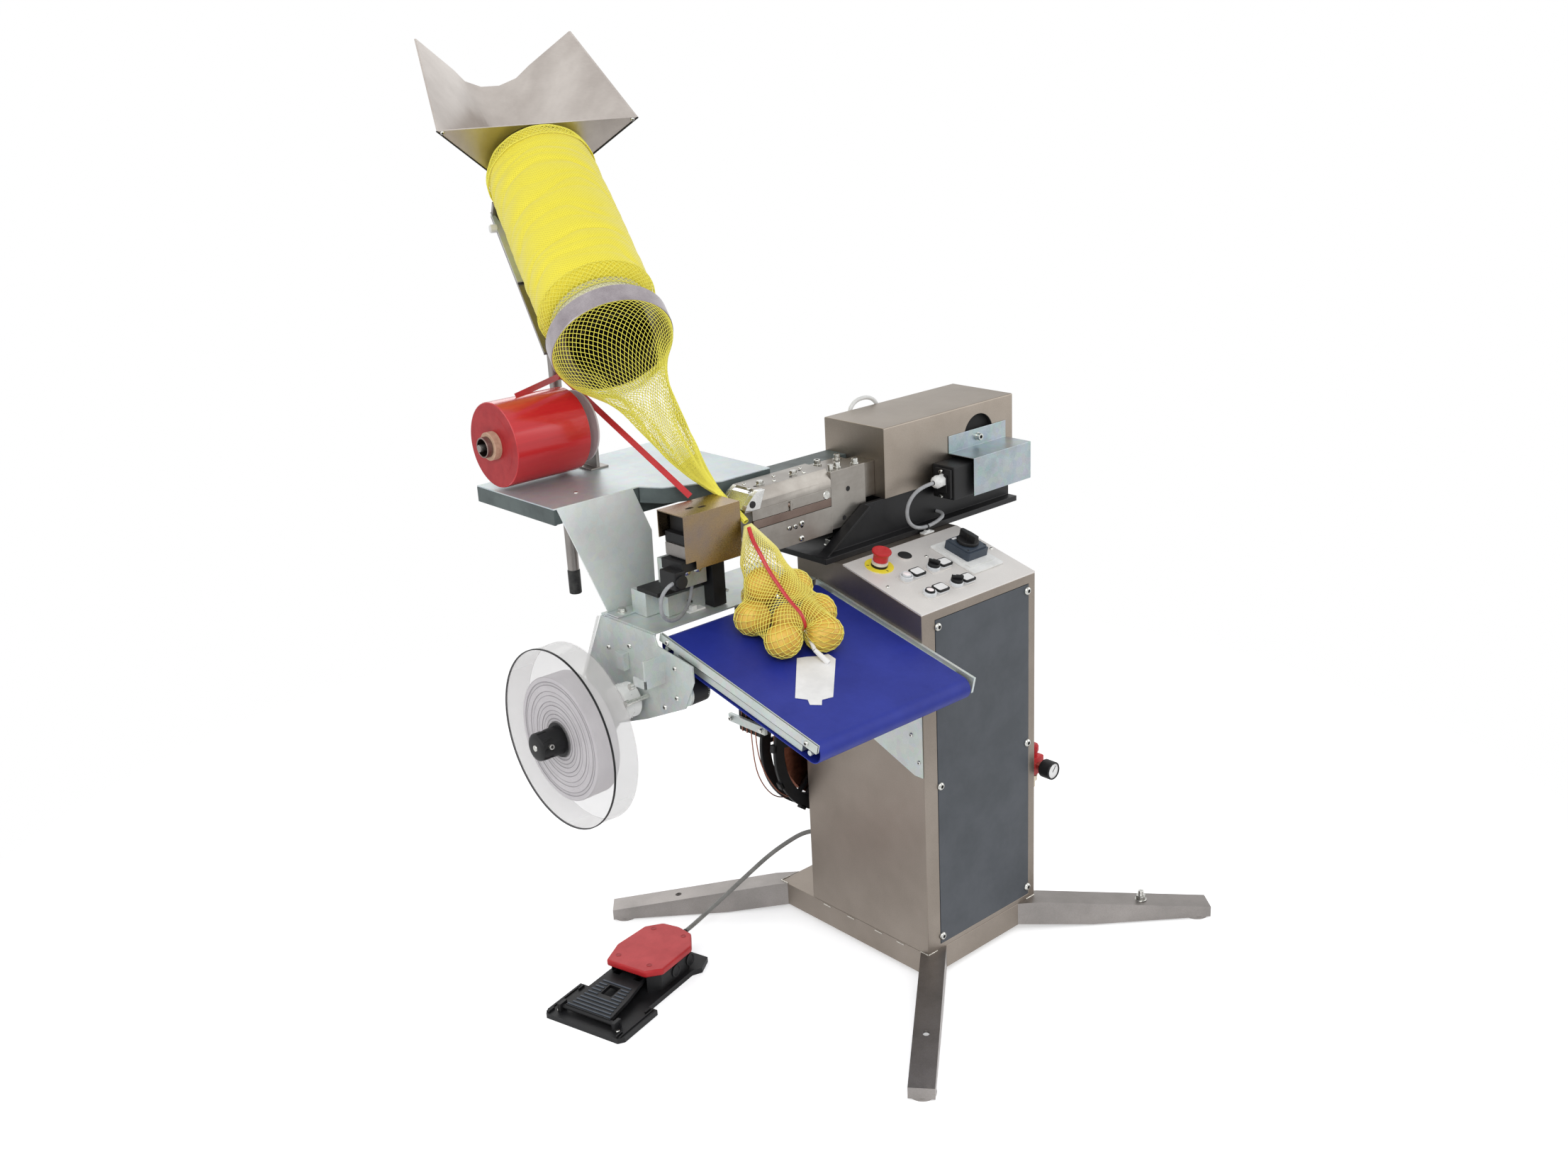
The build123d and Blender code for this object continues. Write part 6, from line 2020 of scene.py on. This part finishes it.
@dataclass
class WireSpool:
    """Clip wire spool behind the column and the guide rollers under the table."""

    radius: float = 180.0
    wide: float = 52.0
    axle: float = 14.3
    spokes: int = 6
    lugs: int = 12
    turns: int = 24
    wire: float = 1.3

    def build(self) -> None:
        """Build the spool, its wire, the guide and the two wires between."""
        spool = Shape(BLACK_NYLON)
        r = self.radius
        for low, high in ((0, 8), (self.wide - 8, self.wide)):
            inner = r - 26
            rim = [(inner, low), (r - 1, low), (r, low + 1), (r, high - 1), (r - 1, high), (inner, high), (inner, low)]
            spool.lathe(rim, SPOOL, 72)
            spool.lathe([(self.axle, low), (52, low), (52, high), (self.axle, high), (self.axle, low)], SPOOL, 48)
            for k in range(self.spokes):
                arm = SPOOL @ Matrix.Rotation(math.tau * k / self.spokes + math.radians(12), 4, "Z")
                for lean in (-1, 1):
                    fork = arm @ Matrix.Translation((46, 0, 0)) @ Matrix.Rotation(lean * 0.13, 4, "Z")
                    spool.block((0, -5, low + 0.5), (r - 66, 5, high - 0.5), fork, 1.0)
        for k in range(self.lugs):
            lug = SPOOL @ Matrix.Rotation(math.tau * k / self.lugs + math.radians(6), 4, "Z")
            spool.block((r - 5, -9, 0), (r + 4.6, 9, 12), lug, 1.2)
        spool.build("wire_reel", SLOT_OF["wire_spool"], "wire_spool", ("wire_spool",))
        wire = Shape(WIRE_BROWN)
        turns = [(60, 9)]
        for k in range(self.turns):
            turns.append((r - 34 + (1.1 if k % 2 else 0), 9 + k * (self.wide - 18) / (self.turns - 1)))
        wire.lathe([*turns, (60, self.wide - 9)], SPOOL, 72)
        wire.build("wound_wire", SLOT_OF["wire_spool"], "wire_spool")
        dress("spool_stand", BLACK_NYLON, 0.8)
        guide = Shape(BLACK_NYLON)
        guide.block((-299.6, 208, 560), (-262, 232, 831.5), round_off=1.5)
        guide.block((-296, 176, 500), (-264, 244, 562), round_off=2)
        for y in (186, 200, 214, 228, 240):
            guide.lathe([(11, -17), (11, -12), (8, -10), (11, -8), (11, -2), (8, 0), (11, 2), (11, 17)],
                        facing((-281, y - 2, 566), (1, 0, 0)), 24)
        guide.use(PLATE_ZINC).block((-308, 148, 518), (-299.6, 264, 536), round_off=1)
        guide.use(BOLT_STEEL).bolt(facing((-308, 158, 527), (-1, 0, 0)), 6)
        guide.screw(facing((-308, 254, 527), (-1, 0, 0)), 6)
        guide.use(WIRE_BROWN)
        for y in (190, 204, 218, 232):
            guide.rod((-297, y, 500), (-297, y, 560), self.wire, sides=8, round_off=0)
        guide.build("guide_rollers", SLOT_OF["wire_guide"], stands_for=("wire_guide",))
        for k, (y, sag) in enumerate(((190, 0), (204, 26))):
            route = [(-297, y, 502), (-294, y + 2, 455 - sag), (-268, y + 4, 390 - sag), (-226, y + 6, 330 - sag * 0.4),
                     (-186, y + 8, 314)]
            curve = cord_curve(f"wire_line_{k}", route, self.wire * 2, WIRE_BROWN)
            mesh = bpy.data.meshes.new_from_object(curve)
            bpy.data.objects.remove(curve)
            strand = stand(f"clip_wire_{k}", mesh)
            report(strand, "machine")


@dataclass
class FootPedal:
    """Foot switch: black body under a red hood, ribbed treadle and its lead."""

    lead_wide: float = 10.0
    hood: Sequence[Point] = (
        (-20, -54), (8, -80), (110, -80), (150, -50), (160, -10), (156, 30), (126, 58), (40, 66), (-20, 48),
    )
    runs: Sequence[Point] = ((-362, 328, 44), (-304, 326, 66), (-246, 308, 106), (-186, 276, 158), (-116, 226, 205))
    entry: Point = (-116, 175, 205)
    lead_long: float = 0.46
    feet: Sequence[Point] = ((-160, -92), (-160, 86), (-66, -92), (-66, 84))
    hood_screws: Sequence[Point] = ((6, -46), (6, 36), (132, -42), (126, 34))
    hood_top: float = 67.5
    ribs: int = 9

    def body(self) -> None:
        """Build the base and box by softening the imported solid, and dress its details."""
        dress("pedal_base", BLACK_NYLON, 1.6)
        more = Shape(BLACK_NYLON)
        for x, y in self.feet:
            more.block((x - 9, y - 2, 11.5), (x + 9, y + 2, 17), PEDAL, 1.0)
        more.block((-168, -100, 11.5), (-56, -97, 15), PEDAL, 0.8)
        more.block((-168, 90, 11.5), (-60, 93, 15), PEDAL, 0.8)
        for x in (60, 110):
            more.lathe([(14, 0), (14, 2.4), (11, 2.4), (10, 1), (0, 1)], PEDAL @ facing((x, -72.2, 32), (0, -1, 0)), 32)
        more.use(BOLT_STEEL)
        for x, y in ((-150, -80), (-150, 74)):
            more.screw(PEDAL @ Matrix.Translation((x, y, 12)), 5, dome=True)
        more.build("pedal_details", SLOT_OF["pedal_base"])

    def cover(self) -> None:
        """Build the red hood with a rounded brim; its four screws show only as darker red discs, painted shade in their
        recesses.
        """
        cover = Shape(RED_PLASTIC)
        top = self.hood_top
        cover.plate(self.hood, 52, top, PEDAL, 4.0)
        # Darker red discs stand in for the shade inside the four screw recesses.
        cover.use(RED_EDGE_AND_RECESS_SHADE)
        for x, y in self.hood_screws:
            recess = [(6, top - 0.5), (6, top + 0.5), (4.6, top + 0.5), (4.2, top + 0.1), (0, top + 0.1)]
            cover.lathe(recess, PEDAL @ Matrix.Translation((x, y, 0)), 24)
        cover.build("pedal_hood_shell", SLOT_OF["pedal_hood"], stands_for=("pedal_hood",))

    def treadle(self) -> None:
        """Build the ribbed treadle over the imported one's outline."""
        dress("pedal_treadle", BLACK_NYLON, 1.4)
        ribs = Shape(SWITCH_GREY)
        for k in range(self.ribs):
            x = 12 + k * 10.5
            half = 50 - k * 1.6
            for low, high in ((-half, -18), (18, half)) if 4 <= k <= 7 else ((-half, half),):
                ribs.block((x, low, 6.8), (x + 4, high, 8.6), TREADLE, 0.6)
        ribs.block((3, -56, 6.8), (6, 56, 8.4), TREADLE, 0.6)
        ribs.build("treadle_ribs", SLOT_OF["pedal_treadle"], "pedal_treadle")

    def lead(self) -> None:
        """Run the pedal's lead up to the back of the column."""
        leaving = [PEDAL @ Vector((166, 0, 34)), PEDAL @ Vector((212, 0, 34))]
        route = [*leaving, *self.runs, self.entry]
        hang_cord(
            "pedal_lead", route, self.lead_wide, LEAD_GREY, ("pedal_cable",)
        )
        boot = Shape(BLACK_NYLON)
        boot.lathe([(9.6, -2), (9.6, 4), (8.4, 6), (8.0, 12), (7.0, 13), (6.8, 20), (5.9, 30), (5.2, 30)],
                   PEDAL @ facing((164, 0, 34), (1, 0, 0)), 24)
        boot.lathe([(5.2, 12), (8, 11), (9, 8), (9.4, 3), (12, 2), (12, 0)], facing(self.entry, (0, 1, 0)), 24)
        boot.build("lead_boots", SLOT_OF["pedal_base"])

    def build(self) -> None:
        """Build the lead, body, hood and treadle."""
        self.lead()
        self.body()
        self.cover()
        self.treadle()


def main() -> None:
    """Build the scene: studio and cords first, then every sub-assembly in order."""
    logging.basicConfig(level=logging.INFO, format="%(name)s %(message)s")
    for part in (
        Studio(), Clipper(), FootPedal(), Base(), Column(), ControlPanel(), PressureRegulator(), ClipperArm(),
        ClippingHead(), Table(), Mast(), Hopper(), NetTube(), FilledBag(), Conveyor(), LabelUnit(), RibbonReel(),
        WireSpool(),
    ):
        LOG.info("building %s", type(part).__name__)
        part.build()


if __name__ == "__main__":
    main()
